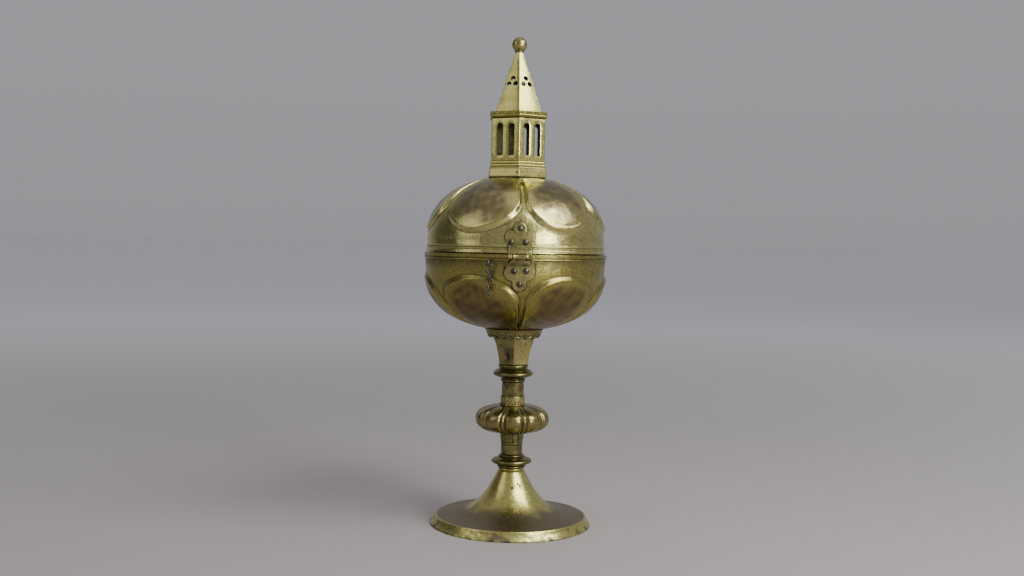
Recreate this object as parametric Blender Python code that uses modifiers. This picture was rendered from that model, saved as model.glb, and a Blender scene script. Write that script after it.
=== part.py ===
# Ciborium of gilt copper: a round foot, a stem with a knop, a bossed bowl and a hinged, bossed lid that
# carries a small six-sided tower. It is in metres with +Z up, stands on z = 0, and its front is -Y.
import math

import bmesh
import bpy
from mathutils import Matrix, Vector

# Fits and gauges
GAP = 0.0003  # between two pieces that touch
SEAM = 0.0005  # between the closed lid and the bowl
SHEET = 0.0012  # wall of the foot, bowl and lid
NECK_WALL = 0.0011
TOWER_WALL = 0.0010
FIXTURE_SHEET = 0.0009  # clasp plates and hinge leaves
WELD = 0.00001  # points closer than this are one

# Foot
FOOT_R = 0.0483
FOOT_TREAD = 0.0007  # upright edge of the flange
FOOT_H = 0.0342
FOOT_TOP_R = 0.0079
FOOT_OUTSIDE = (  # radius and height, from the waist under the stem to the flange
    (0.0085, 0.0321), (0.0110, 0.0266), (0.0141, 0.0212), (0.0186, 0.0156),
    (0.0240, 0.0108), (0.0310, 0.0076), (0.0454, 0.0056),
)
FOOT_INSIDE = ((0.0440, 0.0043), (0.0300, 0.0064), (0.0174, 0.0145), (0.0097, 0.0258))

# Stem, from below
RING_R = 0.0121  # edge of both turned rings
RING_EDGE = 0.0008  # height of that edge
RING_BEVEL = 0.0010  # how far the underside of the edge is cut back
RING_SEAT = ((0.0090, 0), (0.0086, 0.0022))  # radius, and depth from the foot or the neck
RING_WAIST = ((0.0071, 0), (0.0076, 0.0014))  # radius, and depth from the tube
LOWER_RING_H = 0.0077
LOWER_RING_EDGE = 0.0043  # from the top of the ring down to its edge
UPPER_RING_H = 0.0103
UPPER_RING_EDGE = 0.0054
LOWER_TUBE_R = 0.0065
UPPER_TUBE_R = 0.0067
LOWER_TUBE_H = 0.0059
UPPER_TUBE_H = 0.0081
COLLAR_R = 0.0075
COLLAR_BEAD = 0.0006  # height of the beads that edge a collar
LOWER_COLLAR_H = 0.0070
UPPER_COLLAR_H = 0.0058
COLLAR_TAPER = 0.0009  # how far the foot of the lower collar is drawn in
KNOP_R = 0.0226
KNOP_H = 0.0155  # between the two collars
KNOP_SWELL = 0.0012  # how far the lobes rise past each collar
KNOP_LOBES = 10
KNOP_POWER = 2.35  # fullness of the knop's profile
KNOP_COLUMNS = (0.0, 0.35, 0.5, 0.65)  # shares of a lobe: its middle, a groove, the rib and a groove
KNOP_SINK = (0.0, 0.055, 0.004, 0.055)  # share of the radius lost at each
KNOP_ROWS = (52, 26, 0, -26, -52)  # degrees from its middle

# Neck
NECK_H = 0.0211
NECK_FOOT_R = 0.0098  # to a corner of the six-sided part
NECK_TOP_R = 0.0166
NECK_SIDES = 6
NECK_FLARE = 0.64  # share of the widening that comes late
NECK_FLARE_POWER = 2.2
NECK_SHARES = (1, 0.86, 0.68, 0.45, 0.2, 0)  # heights of its rows
SCALLOPS = 18
SCALLOP_BAND = 0.0036  # height of the border's plain part
SCALLOP_DROP = 0.0020  # how far each scallop hangs below it
SCALLOP_SHEET = 0.0006

# Bowl and lid
BOWL_R = 0.0536
BOWL_BAND_OUT = 0.0009  # how far the moulded band on the rim stands out
BOWL_BAND_H = 0.0032
BOWL_MOULD_H = 0.0048  # band and bead together
BOWL_WALL_H = 0.0020  # upright wall between the mouldings and the widest level
BOWL_DEPTH = 0.0361  # from the widest level to the bottom
BOWL_FULLNESS = 2.5
LID_IN = 0.0007  # how much smaller the lid's radius is
LID_BAND_OUT = 0.0008
LID_BAND_H = 0.0025
LID_MOULD_H = 0.0045
LID_WALL_H = 0.0005
LID_HEIGHT = 0.0378
LID_FULLNESS = 2.35
GROOVE = 0.0005  # depth of the groove beside a band
BOSSES = 6
BOSS_HALF_DEG = 27.3  # half the width of a boss round the axis
BOSS_RISE_RIM = 0.0010  # how far a boss stands out near the rim
BOSS_RISE_POLE = 0.0026  # and near the neck or the tower
BOWL_BOSS_TIP_DEG = 5.3  # where the bosses start, from the widest level
BOWL_BOSS_WIDE_DEG = 22.0
LID_BOSS_TIP_DEG = 6.8
LID_BOSS_WIDE_DEG = 27.0
BOSS_SHOULDER = 0.14  # share of a boss taken by its steep edge
BOSS_FULL_DEG = 60.0  # where its rise is at its greatest
BOSS_COLUMNS = (0.0, 0.108, 0.30, 0.5, 0.70, 0.892)  # shares of a boss, at each foot and crest
POLE_RISE = 0.8  # share of the greatest rise that the pole takes
OUTSIDE_ROWS = (5, 9, 14, 22, 35, 50, 65, 76)  # degrees from the widest level
INSIDE_ROWS = (5, 22, 40, 62)

# Tower, six-sided; each radius is to a corner
TOWER_SIDES = 6
ARCADE_R = 0.0181
ARCADE_H = 0.0248
MOULDING_OUT = 0.0006  # how far the mouldings under the arcade stand out
MOULDING_H = 0.0034
MOULDING_DIP = 0.0005  # depth of the groove between the two mouldings
PLINTH_STEP = 0.0003  # from the mouldings out to the plinth's top edge
PLINTH_SPLAY = 0.0009  # and from there out to its foot
PLINTH_H = 0.0056
LANCET_W = 0.0040
LANCET_SILL = 0.0032  # from the arcade's foot
LANCET_H = 0.0191  # to the crown of the arch
LANCET_OFFSET = 0.0038  # from the middle of a side
BLIND_SIDE = 3  # the side at the back left has no lancets; sides are counted from the front right
CORNICE_OUT = 0.0012
CORNICE_H = 0.0039
CORNICE_LIP = 0.0016  # height of the rim above the shelf
CORNICE_LIP_W = 0.0010
CORNICE_HOLE = 0.75  # radius of the opening under the spire, as a share of the arcade's
SPIRE_IN = 0.0027  # how much smaller the spire's foot is than the arcade
SPIRE_TOP_R = 0.0026
SPIRE_H = 0.0372
HOLE_R = 0.0016
HOLE_RISE = 0.0179  # lower holes of a trefoil, above the foot of the spire
HOLE_STEP = 0.0033  # from the lower holes up to the top one
HOLE_SPREAD = 0.0021
BALL_R = 0.00458
BALL_SEAT_R = 0.0026
BALL_SEAT_H = 0.0008
BALL_ROWS = (25, 50, 75, 100, 125)  # degrees from its top

# Clasp and hinge
KNUCKLE_R = 0.00175
PIN_R = 0.0008
PIN_HEAD_R = 0.0012
PIN_HEAD_H = 0.0007
FIXTURE_HALF_W = 0.0066  # half the length of the row of knuckles
TAB_IN = 0.0013  # how much narrower the bowl's plate is than the row of knuckles
MIDDLE_KNUCKLE = (-0.0042, 0.0030)  # where the bowl's knuckle starts and ends across the clasp
AXIS_DROP = 0.0013  # from the bowl's rim down to the knuckles' axis
LID_PLATE_H = 0.0180  # top of the lid's plate above the seam
BOWL_PLATE_H = 0.0207  # foot of the bowl's plate below its rim
LOBE_R = 0.0040  # end lobe of a plate
SIDE_LOBE_R = 0.0041
SIDE_LOBE_X = 0.0045
LID_SIDE_LOBE_IN = 0.0085  # from the end of a plate to the middle of its side lobes
BOWL_SIDE_LOBE_IN = 0.0103
LOBE_ARC = (-25, 205)  # degrees of its circle that the end lobe shows
SIDE_LOBE_ARC = (-50, 80)
RIVET_R = 0.0018
RIVET_H = 0.0013
LID_RIVET_X = (-0.0050, 0.0030)  # the pair beside the seam
BOWL_RIVET_X = (-0.0031, 0.0035)
LID_RIVET_IN = 0.0117  # from the end of a plate to its pair of rivets
BOWL_RIVET_IN = 0.0115
PLATE_COLUMNS = (-0.0045, 0, 0.0045)  # where a plate is cut so that it can bend
PLATE_ROWS = (0, 0.0026, 0.0054, 0.0095)

# Chain
WIRE_R = 0.0004
STAPLE_DEG = -17.2  # round from the clasp
STAPLE_W = 0.0046
STAPLE_H = 0.0040
STAPLE_DROP = 0.0027  # from the bowl's rim to the top of the staple
LINKS = 4
LINK_L = 0.0060
LINK_W = 0.0036

# Steps round a full turn
ROUND = 32
SMALL_ROUND = 18
BALL_ROUND = 10
SMALL_SIDES = 8
HOLE_SIDES = 6
SHARP_DEG = 32  # edges sharper than this aren't shaded smooth


# Levels and radii that follow from these
def stack(level, *heights):
    """The bottom of each piece of a stack on that level, with a gap under each, and the top of the last."""
    levels = []
    for height in heights:
        levels.append(level + GAP)
        level = level + GAP + height
    return [*levels, level]


Z_LOWER_RING, Z_LOWER_TUBE, Z_LOWER_COLLAR, Z_KNOP, Z_ABOVE_KNOP = stack(
    FOOT_H, LOWER_RING_H, LOWER_TUBE_H, LOWER_COLLAR_H, KNOP_H)
Z_UPPER_COLLAR, Z_UPPER_TUBE, Z_UPPER_RING, Z_NECK, Z_NECK_TOP = stack(
    Z_ABOVE_KNOP, UPPER_COLLAR_H, UPPER_TUBE_H, UPPER_RING_H, NECK_H)
BAND_R = BOWL_R + BOWL_BAND_OUT
LID_R = BOWL_R - LID_IN
LID_BAND_R = LID_R + LID_BAND_OUT
CLEAR_R = max(BAND_R, LID_BAND_R) + GAP  # clear of both bands
MOULDING_R = ARCADE_R + MOULDING_OUT
PLINTH_TOP_R = MOULDING_R + PLINTH_STEP
PLINTH_R = PLINTH_TOP_R + PLINTH_SPLAY
CORNICE_R = ARCADE_R + CORNICE_OUT
SPIRE_R = ARCADE_R - SPIRE_IN


class Dome:
    """The shape of the bowl or the lid: a superellipse turned about Z, whose bosses rise from its skin."""

    def __init__(self, radius, height, power, side, tip_deg, wide_deg):
        self.radius = radius
        self.height = height
        self.power = power
        self.side = side  # 1 for the lid, which closes upwards, and -1 for the bowl
        self.tip = math.radians(tip_deg)
        self.wide = math.radians(wide_deg)
        self.level = 0.0  # world height of the widest level

    def field(self, theta):
        """Radius and height over the widest level of the skin between bosses, at theta from that level."""
        c = math.cos(theta) / self.radius
        s = math.sin(theta) / self.height
        reach = (abs(c) ** self.power + abs(s) ** self.power) ** (-1 / self.power)
        return reach * math.cos(theta), reach * math.sin(theta)

    def normal(self, theta):
        """Unit normal of that skin, outwards, as its radial and axial parts."""
        r, h = self.field(theta)
        slope = Vector((
            (max(r, 0.0) / self.radius) ** (self.power - 1) / self.radius,
            (max(h, 0.0) / self.height) ** (self.power - 1) / self.height,
        ))
        return slope.normalized()

    def rise(self, azimuth, theta):
        """How far a boss stands out of the skin there."""
        sector = 2 * math.pi / BOSSES
        off = abs((azimuth - FRONT) % sector - sector / 2)
        across = off / math.radians(BOSS_HALF_DEG)
        along = max(0.0, self.wide - theta) / (self.wide - self.tip)
        edge = 1 - math.hypot(across, along)
        shoulder = min(1.0, max(0.0, edge / BOSS_SHOULDER))
        shoulder = shoulder * shoulder * (3 - 2 * shoulder)
        share = min(1.0, theta / math.radians(BOSS_FULL_DEG))
        height = BOSS_RISE_RIM + (BOSS_RISE_POLE - BOSS_RISE_RIM) * share
        return height * shoulder

    def level_at(self, radius, rise=0.0):
        """World height of the skin at that distance from the axis, on a boss that stands out by rise."""
        low, high = 0.0, math.pi / 2
        for _ in range(50):
            middle = (low + high) / 2
            if self.field(middle)[0] + rise * self.normal(middle)[0] > radius:
                low = middle
            else:
                high = middle
        return self.level + self.side * (self.field(low)[1] + rise * self.normal(low)[1])

    def radius_at(self, level):
        """Radius of the skin between bosses at that world height."""
        share = max(0.0, (level - self.level) * self.side / self.height)
        return self.radius * (1 - min(1.0, share) ** self.power) ** (1 / self.power)


FRONT = -math.pi / 2  # azimuth of -Y, where two bosses meet
BOWL = Dome(BOWL_R, BOWL_DEPTH, BOWL_FULLNESS, -1, BOWL_BOSS_TIP_DEG, BOWL_BOSS_WIDE_DEG)
LID = Dome(LID_R, LID_HEIGHT, LID_FULLNESS, 1, LID_BOSS_TIP_DEG, LID_BOSS_WIDE_DEG)
BOWL.level += Z_NECK_TOP + GAP - BOWL.level_at(NECK_TOP_R - NECK_WALL, BOSS_RISE_POLE)
Z_RIM = BOWL.level + BOWL_WALL_H + BOWL_MOULD_H
Z_SEAM = Z_RIM + SEAM
LID.level = Z_SEAM + LID_MOULD_H + LID_WALL_H
PLINTH_INNER = (PLINTH_R - TOWER_WALL) * math.cos(math.pi / TOWER_SIDES)
Z_PLINTH = LID.level_at(PLINTH_INNER, BOSS_RISE_POLE) + GAP
Z_ARCADE = Z_PLINTH + PLINTH_H + MOULDING_H + GAP
Z_CORNICE = Z_ARCADE + ARCADE_H + GAP
Z_SPIRE = Z_CORNICE + CORNICE_H - CORNICE_LIP + GAP
Z_BALL = Z_SPIRE + SPIRE_H + GAP
AXIS_Z = Z_RIM - AXIS_DROP
AXIS_R = CLEAR_R + KNUCKLE_R


# Scene helpers
def clear_scene():
    for obj in list(bpy.data.objects):
        bpy.data.objects.remove(obj, do_unlink=True)


def new_collection(name):
    collection = bpy.data.collections.new(name)
    bpy.context.scene.collection.children.link(collection)
    return collection


def new_material(name, colour, roughness, metallic):
    material = bpy.data.materials.new(name)
    material.use_nodes = True
    shader = material.node_tree.nodes["Principled BSDF"]
    shader.inputs["Base Color"].default_value = (*colour, 1.0)
    shader.inputs["Roughness"].default_value = roughness
    shader.inputs["Metallic"].default_value = metallic
    return material


def add_part(name, mesh, material):
    """Links a mesh as a named piece of the ciborium."""
    obj = bpy.data.objects.new(name, mesh)
    PARTS.objects.link(obj)
    mesh.materials.clear()
    mesh.materials.append(material)
    mesh.shade_smooth()
    mesh.set_sharp_from_angle(angle=math.radians(SHARP_DEG))
    return obj


def mesh_of(bm):
    bmesh.ops.recalc_face_normals(bm, faces=bm.faces[:])
    mesh = bpy.data.meshes.new("mesh")
    bm.to_mesh(mesh)
    bm.free()
    return mesh


def as_mesh(obj):
    """A plain mesh of the object as it stands, with loose caps welded; the object goes."""
    bpy.context.view_layer.update()
    evaluated = obj.evaluated_get(bpy.context.evaluated_depsgraph_get())
    mesh = bpy.data.meshes.new_from_object(evaluated)
    mesh.transform(obj.matrix_world)
    bm = bmesh.new()
    bm.from_mesh(mesh)
    bmesh.ops.remove_doubles(bm, verts=bm.verts[:], dist=WELD)
    bm.to_mesh(mesh)
    bm.free()
    bpy.data.objects.remove(obj, do_unlink=True)
    return mesh


def turned(profile, steps, closed=False, turn=0.0):
    """A mesh turned about Z from (radius, height) points, which run down the outer side."""
    bm = bmesh.new()
    points = [bm.verts.new((radius, 0, height)) for radius, height in profile]
    for a, b in zip(points, points[1:] + points[:1] if closed else points[1:]):
        bm.edges.new((a, b))
    mesh = bpy.data.meshes.new("profile")
    bm.to_mesh(mesh)
    bm.free()
    obj = bpy.data.objects.new("profile", mesh)
    PARTS.objects.link(obj)
    screw = obj.modifiers.new("Screw", "SCREW")
    screw.steps = steps
    screw.render_steps = steps
    screw.use_merge_vertices = True
    screw.merge_threshold = WELD
    obj.rotation_euler.z = turn
    return as_mesh(obj)


def outline_mesh(points, thickness):
    """A flat outline in X and Z, filled and given its thickness along Y."""
    curve = bpy.data.curves.new("outline", "CURVE")
    curve.dimensions = "2D"
    curve.fill_mode = "BOTH"
    curve.extrude = thickness / 2
    spline = curve.splines.new("POLY")
    spline.points.add(len(points) - 1)
    for target, (x, z) in zip(spline.points, points):
        target.co = (x, z, 0, 1)
    spline.use_cyclic_u = True
    obj = bpy.data.objects.new("outline", curve)
    PARTS.objects.link(obj)
    obj.rotation_euler.x = math.pi / 2
    return as_mesh(obj)


def wire_mesh(points, radius, sides_level):
    """A closed ring of wire through the points."""
    curve = bpy.data.curves.new("wire", "CURVE")
    curve.dimensions = "3D"
    curve.bevel_depth = radius
    curve.bevel_resolution = sides_level
    spline = curve.splines.new("POLY")
    spline.points.add(len(points) - 1)
    for target, point in zip(spline.points, points):
        target.co = (*point, 1)
    spline.use_cyclic_u = True
    obj = bpy.data.objects.new("wire", curve)
    PARTS.objects.link(obj)
    return as_mesh(obj)


def arc(centre, radius, start, end, steps):
    """Points on an arc in a plane, in degrees, anticlockwise from +X where end is the larger."""
    angles = [math.radians(start + (end - start) * i / steps) for i in range(steps + 1)]
    return [(centre[0] + radius * math.cos(a), centre[1] + radius * math.sin(a)) for a in angles]


def cylinder_mesh(radius, length, sides, place):
    """A cylinder along its own Z, put in place by a matrix."""
    bm = bmesh.new()
    bmesh.ops.create_cone(
        bm, cap_ends=True, segments=sides, radius1=radius, radius2=radius, depth=length, matrix=place)
    return mesh_of(bm)


def add_cutter(name, mesh):
    obj = bpy.data.objects.new(name, mesh)
    CUTTERS.objects.link(obj)
    obj.hide_render = True
    obj.display_type = "WIRE"
    return obj


def boolean(obj, other, operation):
    modifier = obj.modifiers.new(other.name, "BOOLEAN")
    modifier.operation = operation
    modifier.object = other


# Foot and stem
def make_foot():
    outer = [(0, FOOT_H), (FOOT_TOP_R, FOOT_H), *FOOT_OUTSIDE, (FOOT_R, FOOT_TREAD), (FOOT_R, 0)]
    inner = [(FOOT_R - SHEET, 0), *FOOT_INSIDE, (0, FOOT_H - SHEET * 2)]
    add_part("foot", turned(outer + inner, ROUND), GILT)


def make_ring(name, level, height, edge_drop, seat_above):
    """A turned ring: a narrow edge between two bevels, with its wide seat above or below."""
    above, below = (RING_SEAT, RING_WAIST) if seat_above else (RING_WAIST, RING_SEAT)
    middle = level + height - edge_drop
    upper = [(radius, level + height - depth) for radius, depth in above]
    edge = [(RING_R, middle + RING_EDGE / 2), (RING_R - RING_BEVEL, middle - RING_EDGE / 2)]
    lower = [(radius, level + depth) for radius, depth in reversed(below)]
    profile = [(0, level + height), *upper, *edge, *lower, (0, level)]
    add_part(name, turned(profile, SMALL_ROUND), GILT)


def make_tube(name, level, height, radius):
    place = Matrix.Translation((0, 0, level + height / 2))
    add_part(name, cylinder_mesh(radius, height, SMALL_ROUND, place), GILT)


def make_collar(name, level, height, taper):
    """A sleeve with a bead at each edge; taper draws its foot in."""
    top = level + height
    profile = [
        (0, top),
        (COLLAR_R, top),
        (COLLAR_R, top - COLLAR_BEAD),
        (COLLAR_R - GAP, top - COLLAR_BEAD),
        (COLLAR_R - GAP - taper, level + COLLAR_BEAD),
        (COLLAR_R - taper, level + COLLAR_BEAD),
        (COLLAR_R - taper, level),
        (0, level),
    ]
    add_part(name, turned(profile, SMALL_ROUND), GILT)


def make_knop():
    """A flattened melon: full lobes, and between each two a narrow rib that stands in a groove."""
    half = KNOP_H / 2 + KNOP_SWELL
    middle = Z_KNOP + KNOP_H / 2
    profile = [(0, Z_KNOP + KNOP_H), (COLLAR_R, Z_KNOP + KNOP_H)]
    for degrees in KNOP_ROWS:
        angle = math.radians(degrees)
        reach = abs(math.cos(angle)) ** KNOP_POWER + abs(math.sin(angle)) ** KNOP_POWER
        reach = reach ** (-1 / KNOP_POWER)
        profile.append((KNOP_R * reach * math.cos(angle), middle + half * reach * math.sin(angle)))
    profile += [(COLLAR_R, Z_KNOP), (0, Z_KNOP)]
    columns = len(KNOP_COLUMNS)
    mesh = turned(profile, KNOP_LOBES * columns)
    lobe = 2 * math.pi / KNOP_LOBES
    for vertex in mesh.vertices:
        radius = math.hypot(vertex.co.x, vertex.co.y)
        if radius <= COLLAR_R + GAP:
            continue
        step = round((math.atan2(vertex.co.y, vertex.co.x) - FRONT) / (lobe / columns))
        azimuth = FRONT + (step // columns + KNOP_COLUMNS[step % columns]) * lobe
        radius *= 1 - KNOP_SINK[step % columns]
        vertex.co.x = radius * math.cos(azimuth)
        vertex.co.y = radius * math.sin(azimuth)
    add_part("knop", mesh, GILT)


def neck_radius(level):
    """Radius of the trumpet: to a corner low down, and all round at the top."""
    share = (level - Z_NECK) / NECK_H
    flare = (1 - NECK_FLARE) * share + NECK_FLARE * share ** NECK_FLARE_POWER
    return NECK_FOOT_R + (NECK_TOP_R - NECK_FOOT_R) * flare


def make_neck():
    levels = [Z_NECK + NECK_H * share for share in NECK_SHARES]
    outer = [(neck_radius(level), level) for level in levels]
    wall = NECK_WALL / math.cos(math.pi / NECK_SIDES)
    inner = [(radius - wall, level) for radius, level in reversed(outer)]
    mesh = turned(outer + inner, NECK_SIDES * 2, closed=True)
    side = 2 * math.pi / NECK_SIDES
    for vertex in mesh.vertices:
        share = (vertex.co.z - Z_NECK) / NECK_H
        off = (math.atan2(vertex.co.y, vertex.co.x) - FRONT + side / 2) % side - side / 2
        flat = math.cos(side / 2) / math.cos(side / 2 - abs(off))
        scale = 1 + (flat - 1) * (1 - share ** 2)
        vertex.co.x *= scale
        vertex.co.y *= scale
    add_part("neck", mesh, GILT)


def make_scalloped_collar():
    """A cut border round the top of the neck; its lower edge hangs in scallops."""
    top = Z_NECK_TOP
    edge = top - SCALLOP_BAND
    inner_top = NECK_TOP_R + GAP
    inner_edge = neck_radius(edge) + GAP
    steps = SCALLOPS * 3
    profile = [
        (inner_top + SCALLOP_SHEET, top),
        (inner_edge + SCALLOP_SHEET, edge),
        (inner_edge, edge),
        (inner_top, top),
    ]
    mesh = turned(profile, steps, closed=True)
    drop_radius = neck_radius(edge - SCALLOP_DROP) - neck_radius(edge)
    for vertex in mesh.vertices:
        if vertex.co.z > (top + edge) / 2:
            continue
        radius = math.hypot(vertex.co.x, vertex.co.y)
        azimuth = math.atan2(vertex.co.y, vertex.co.x)
        share = ((azimuth - FRONT) / (2 * math.pi / SCALLOPS)) % 1.0
        hang = math.sqrt(max(0.0, 1 - (2 * share - 1) ** 2))
        radius += drop_radius * hang
        vertex.co = (radius * math.cos(azimuth), radius * math.sin(azimuth), edge - SCALLOP_DROP * hang)
    add_part("scalloped_collar", mesh, GILT)


# Bowl and lid
def shell_profile(dome, rim, mouldings):
    """Profile of a bowl or lid: mouldings at the rim, the skin to the pole, and back along the inside."""
    outer = list(mouldings)
    inner = [(mouldings[0][0] - SHEET, rim), (dome.radius - SHEET, dome.level)]
    for degrees in OUTSIDE_ROWS:
        radius, height = dome.field(math.radians(degrees))
        outer.append((radius, dome.level + dome.side * height))
    for degrees in INSIDE_ROWS:
        radius, height = dome.field(math.radians(degrees))
        normal = dome.normal(math.radians(degrees)) * SHEET
        inner.append((radius - normal[0], dome.level + dome.side * (height - normal[1])))
    outer.append((0, dome.level + dome.side * dome.height))
    inner.append((0, dome.level + dome.side * (dome.height - SHEET)))
    # It runs down the outer side, so the lid's starts at its outer pole and the bowl's at its inner one
    return list(reversed(outer)) + inner if dome.side > 0 else list(reversed(inner)) + outer


def raise_bosses(mesh, dome):
    """Moves the columns to where the bosses' edges are, and lifts the bosses out of the skin."""
    sector = 2 * math.pi / BOSSES
    columns = len(BOSS_COLUMNS)
    for vertex in mesh.vertices:
        radius = math.hypot(vertex.co.x, vertex.co.y)
        if radius < GAP:
            vertex.co.z += dome.side * BOSS_RISE_POLE * POLE_RISE
            continue
        step = round((math.atan2(vertex.co.y, vertex.co.x) - FRONT) / (sector / columns))
        azimuth = FRONT + (step // columns + BOSS_COLUMNS[step % columns]) * sector
        height = (vertex.co.z - dome.level) * dome.side
        if height > 0:
            theta = math.atan2(height, radius)
            rise = dome.rise(azimuth, theta)
            normal = dome.normal(theta)
            radius += rise * normal[0]
            height += rise * normal[1]
            vertex.co.z = dome.level + dome.side * height
        vertex.co.x = radius * math.cos(azimuth)
        vertex.co.y = radius * math.sin(azimuth)


def make_shell(name, dome, rim, mouldings):
    mesh = turned(shell_profile(dome, rim, mouldings), BOSSES * len(BOSS_COLUMNS))
    raise_bosses(mesh, dome)
    add_part(name, mesh, GILT)


def make_bowl():
    mouldings = [
        (BAND_R, Z_RIM),
        (BAND_R, Z_RIM - BOWL_BAND_H),
        (BAND_R - GROOVE, Z_RIM - BOWL_BAND_H - GROOVE),
        (BOWL_R + GROOVE, Z_RIM - BOWL_MOULD_H),
    ]
    make_shell("bowl", BOWL, Z_RIM, mouldings)


def make_lid():
    mouldings = [
        (LID_BAND_R, Z_SEAM),
        (LID_BAND_R, Z_SEAM + LID_BAND_H),
        (LID_BAND_R - GROOVE, Z_SEAM + LID_BAND_H + GROOVE),
        (LID_R + GROOVE / 2, Z_SEAM + LID_MOULD_H),
    ]
    make_shell("lid", LID, Z_SEAM, mouldings)


# Tower
def six_sided(name, profile, closed=False):
    """A piece of the tower, turned in six steps so that one corner faces the front."""
    return add_part(name, turned(profile, TOWER_SIDES, closed, turn=math.pi / TOWER_SIDES), GILT)


def make_plinth():
    wall = TOWER_WALL / math.cos(math.pi / TOWER_SIDES)
    top = Z_PLINTH + PLINTH_H
    dip = top + MOULDING_H / 2
    profile = [
        (MOULDING_R, top + MOULDING_H),
        (MOULDING_R, dip + MOULDING_DIP),
        (MOULDING_R - MOULDING_DIP, dip),
        (MOULDING_R, dip - MOULDING_DIP),
        (MOULDING_R, top + GAP),
        (PLINTH_TOP_R, top),
        (PLINTH_R, Z_PLINTH),
        (PLINTH_R - wall, Z_PLINTH),
        (ARCADE_R - wall, top),
        (ARCADE_R - wall, top + MOULDING_H),
    ]
    six_sided("tower_plinth", profile, closed=True)


def lancet_outline():
    half = LANCET_W / 2
    sill = Z_ARCADE + LANCET_SILL
    spring = sill + LANCET_H - half
    return [(half, sill), *arc((0, spring), half, 0, 180, 6), (-half, sill)]


def make_arcade():
    wall = TOWER_WALL / math.cos(math.pi / TOWER_SIDES)
    top = Z_ARCADE + ARCADE_H
    profile = [(ARCADE_R, top), (ARCADE_R, Z_ARCADE), (ARCADE_R - wall, Z_ARCADE), (ARCADE_R - wall, top)]
    arcade = six_sided("tower_arcade", profile, closed=True)
    for side in range(TOWER_SIDES):
        if side == BLIND_SIDE:
            continue
        for offset in (-LANCET_OFFSET, LANCET_OFFSET):
            mesh = outline_mesh(lancet_outline(), ARCADE_R)
            turn = math.pi / TOWER_SIDES + side * 2 * math.pi / TOWER_SIDES
            mesh.transform(Matrix.Rotation(turn, 4, "Z") @ Matrix.Translation((offset, -ARCADE_R, 0)))
            boolean(arcade, add_cutter(f"lancet_{side}_{offset > 0:d}", mesh), "DIFFERENCE")


def make_cornice():
    shelf = Z_CORNICE + CORNICE_H - CORNICE_LIP
    top = Z_CORNICE + CORNICE_H
    inner = ARCADE_R * CORNICE_HOLE
    profile = [
        (CORNICE_R, top),
        (CORNICE_R, top - CORNICE_LIP / 2),
        (ARCADE_R, Z_CORNICE),
        (inner, Z_CORNICE),
        (inner, shelf),
        (CORNICE_R - CORNICE_LIP_W, shelf),
        (CORNICE_R - CORNICE_LIP_W, top),
    ]
    six_sided("tower_cornice", profile, closed=True)


def make_spire():
    wall = TOWER_WALL / math.cos(math.pi / TOWER_SIDES)
    top = Z_SPIRE + SPIRE_H
    profile = [
        (0, top),
        (SPIRE_TOP_R, top),
        (SPIRE_R, Z_SPIRE),
        (SPIRE_R - wall, Z_SPIRE),
        (SPIRE_TOP_R - wall / 2, top - wall),
        (0, top - wall),
    ]
    spire = six_sided("spire", profile)
    low = Z_SPIRE + HOLE_RISE
    for side in range(TOWER_SIDES // 2):
        turn = Matrix.Rotation(math.pi / TOWER_SIDES + side * 2 * math.pi / TOWER_SIDES, 4, "Z")
        holes = [(-HOLE_SPREAD, low), (HOLE_SPREAD, low), (0, low + HOLE_STEP)]
        for index, (x, z) in enumerate(holes):
            place = turn @ Matrix.Translation((x, 0, z)) @ Matrix.Rotation(math.pi / 2, 4, "X")
            mesh = cylinder_mesh(HOLE_R, SPIRE_R * 3, HOLE_SIDES, place)
            boolean(spire, add_cutter(f"trefoil_{side}_{index}", mesh), "DIFFERENCE")


def make_ball():
    centre = Z_BALL + BALL_R
    profile = [(0, centre + BALL_R)]
    for degrees in BALL_ROWS:
        angle = math.radians(degrees)
        profile.append((BALL_R * math.sin(angle), centre + BALL_R * math.cos(angle)))
    profile += [(BALL_SEAT_R, Z_BALL + BALL_SEAT_H), (BALL_SEAT_R, Z_BALL), (0, Z_BALL)]
    add_part("finial_ball", turned(profile, BALL_ROUND), GILT)


# Clasp and hinge
def plate_seat(level, on_lid):
    """Distance of a plate's back from the axis at that height: on the skin, and clear of the bands."""
    if on_lid:
        skin = max(LID_BAND_R, LID.radius_at(level)) if level < LID.level else LID.radius_at(level)
        share = (level - Z_SEAM) / LID_BAND_H
    else:
        skin = BOWL.radius_at(level)
        share = (Z_RIM - BOWL_MOULD_H - level) / LID_BAND_H
    share = min(1.0, max(0.0, share))
    return CLEAR_R + (skin + GAP - CLEAR_R) * share


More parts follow.
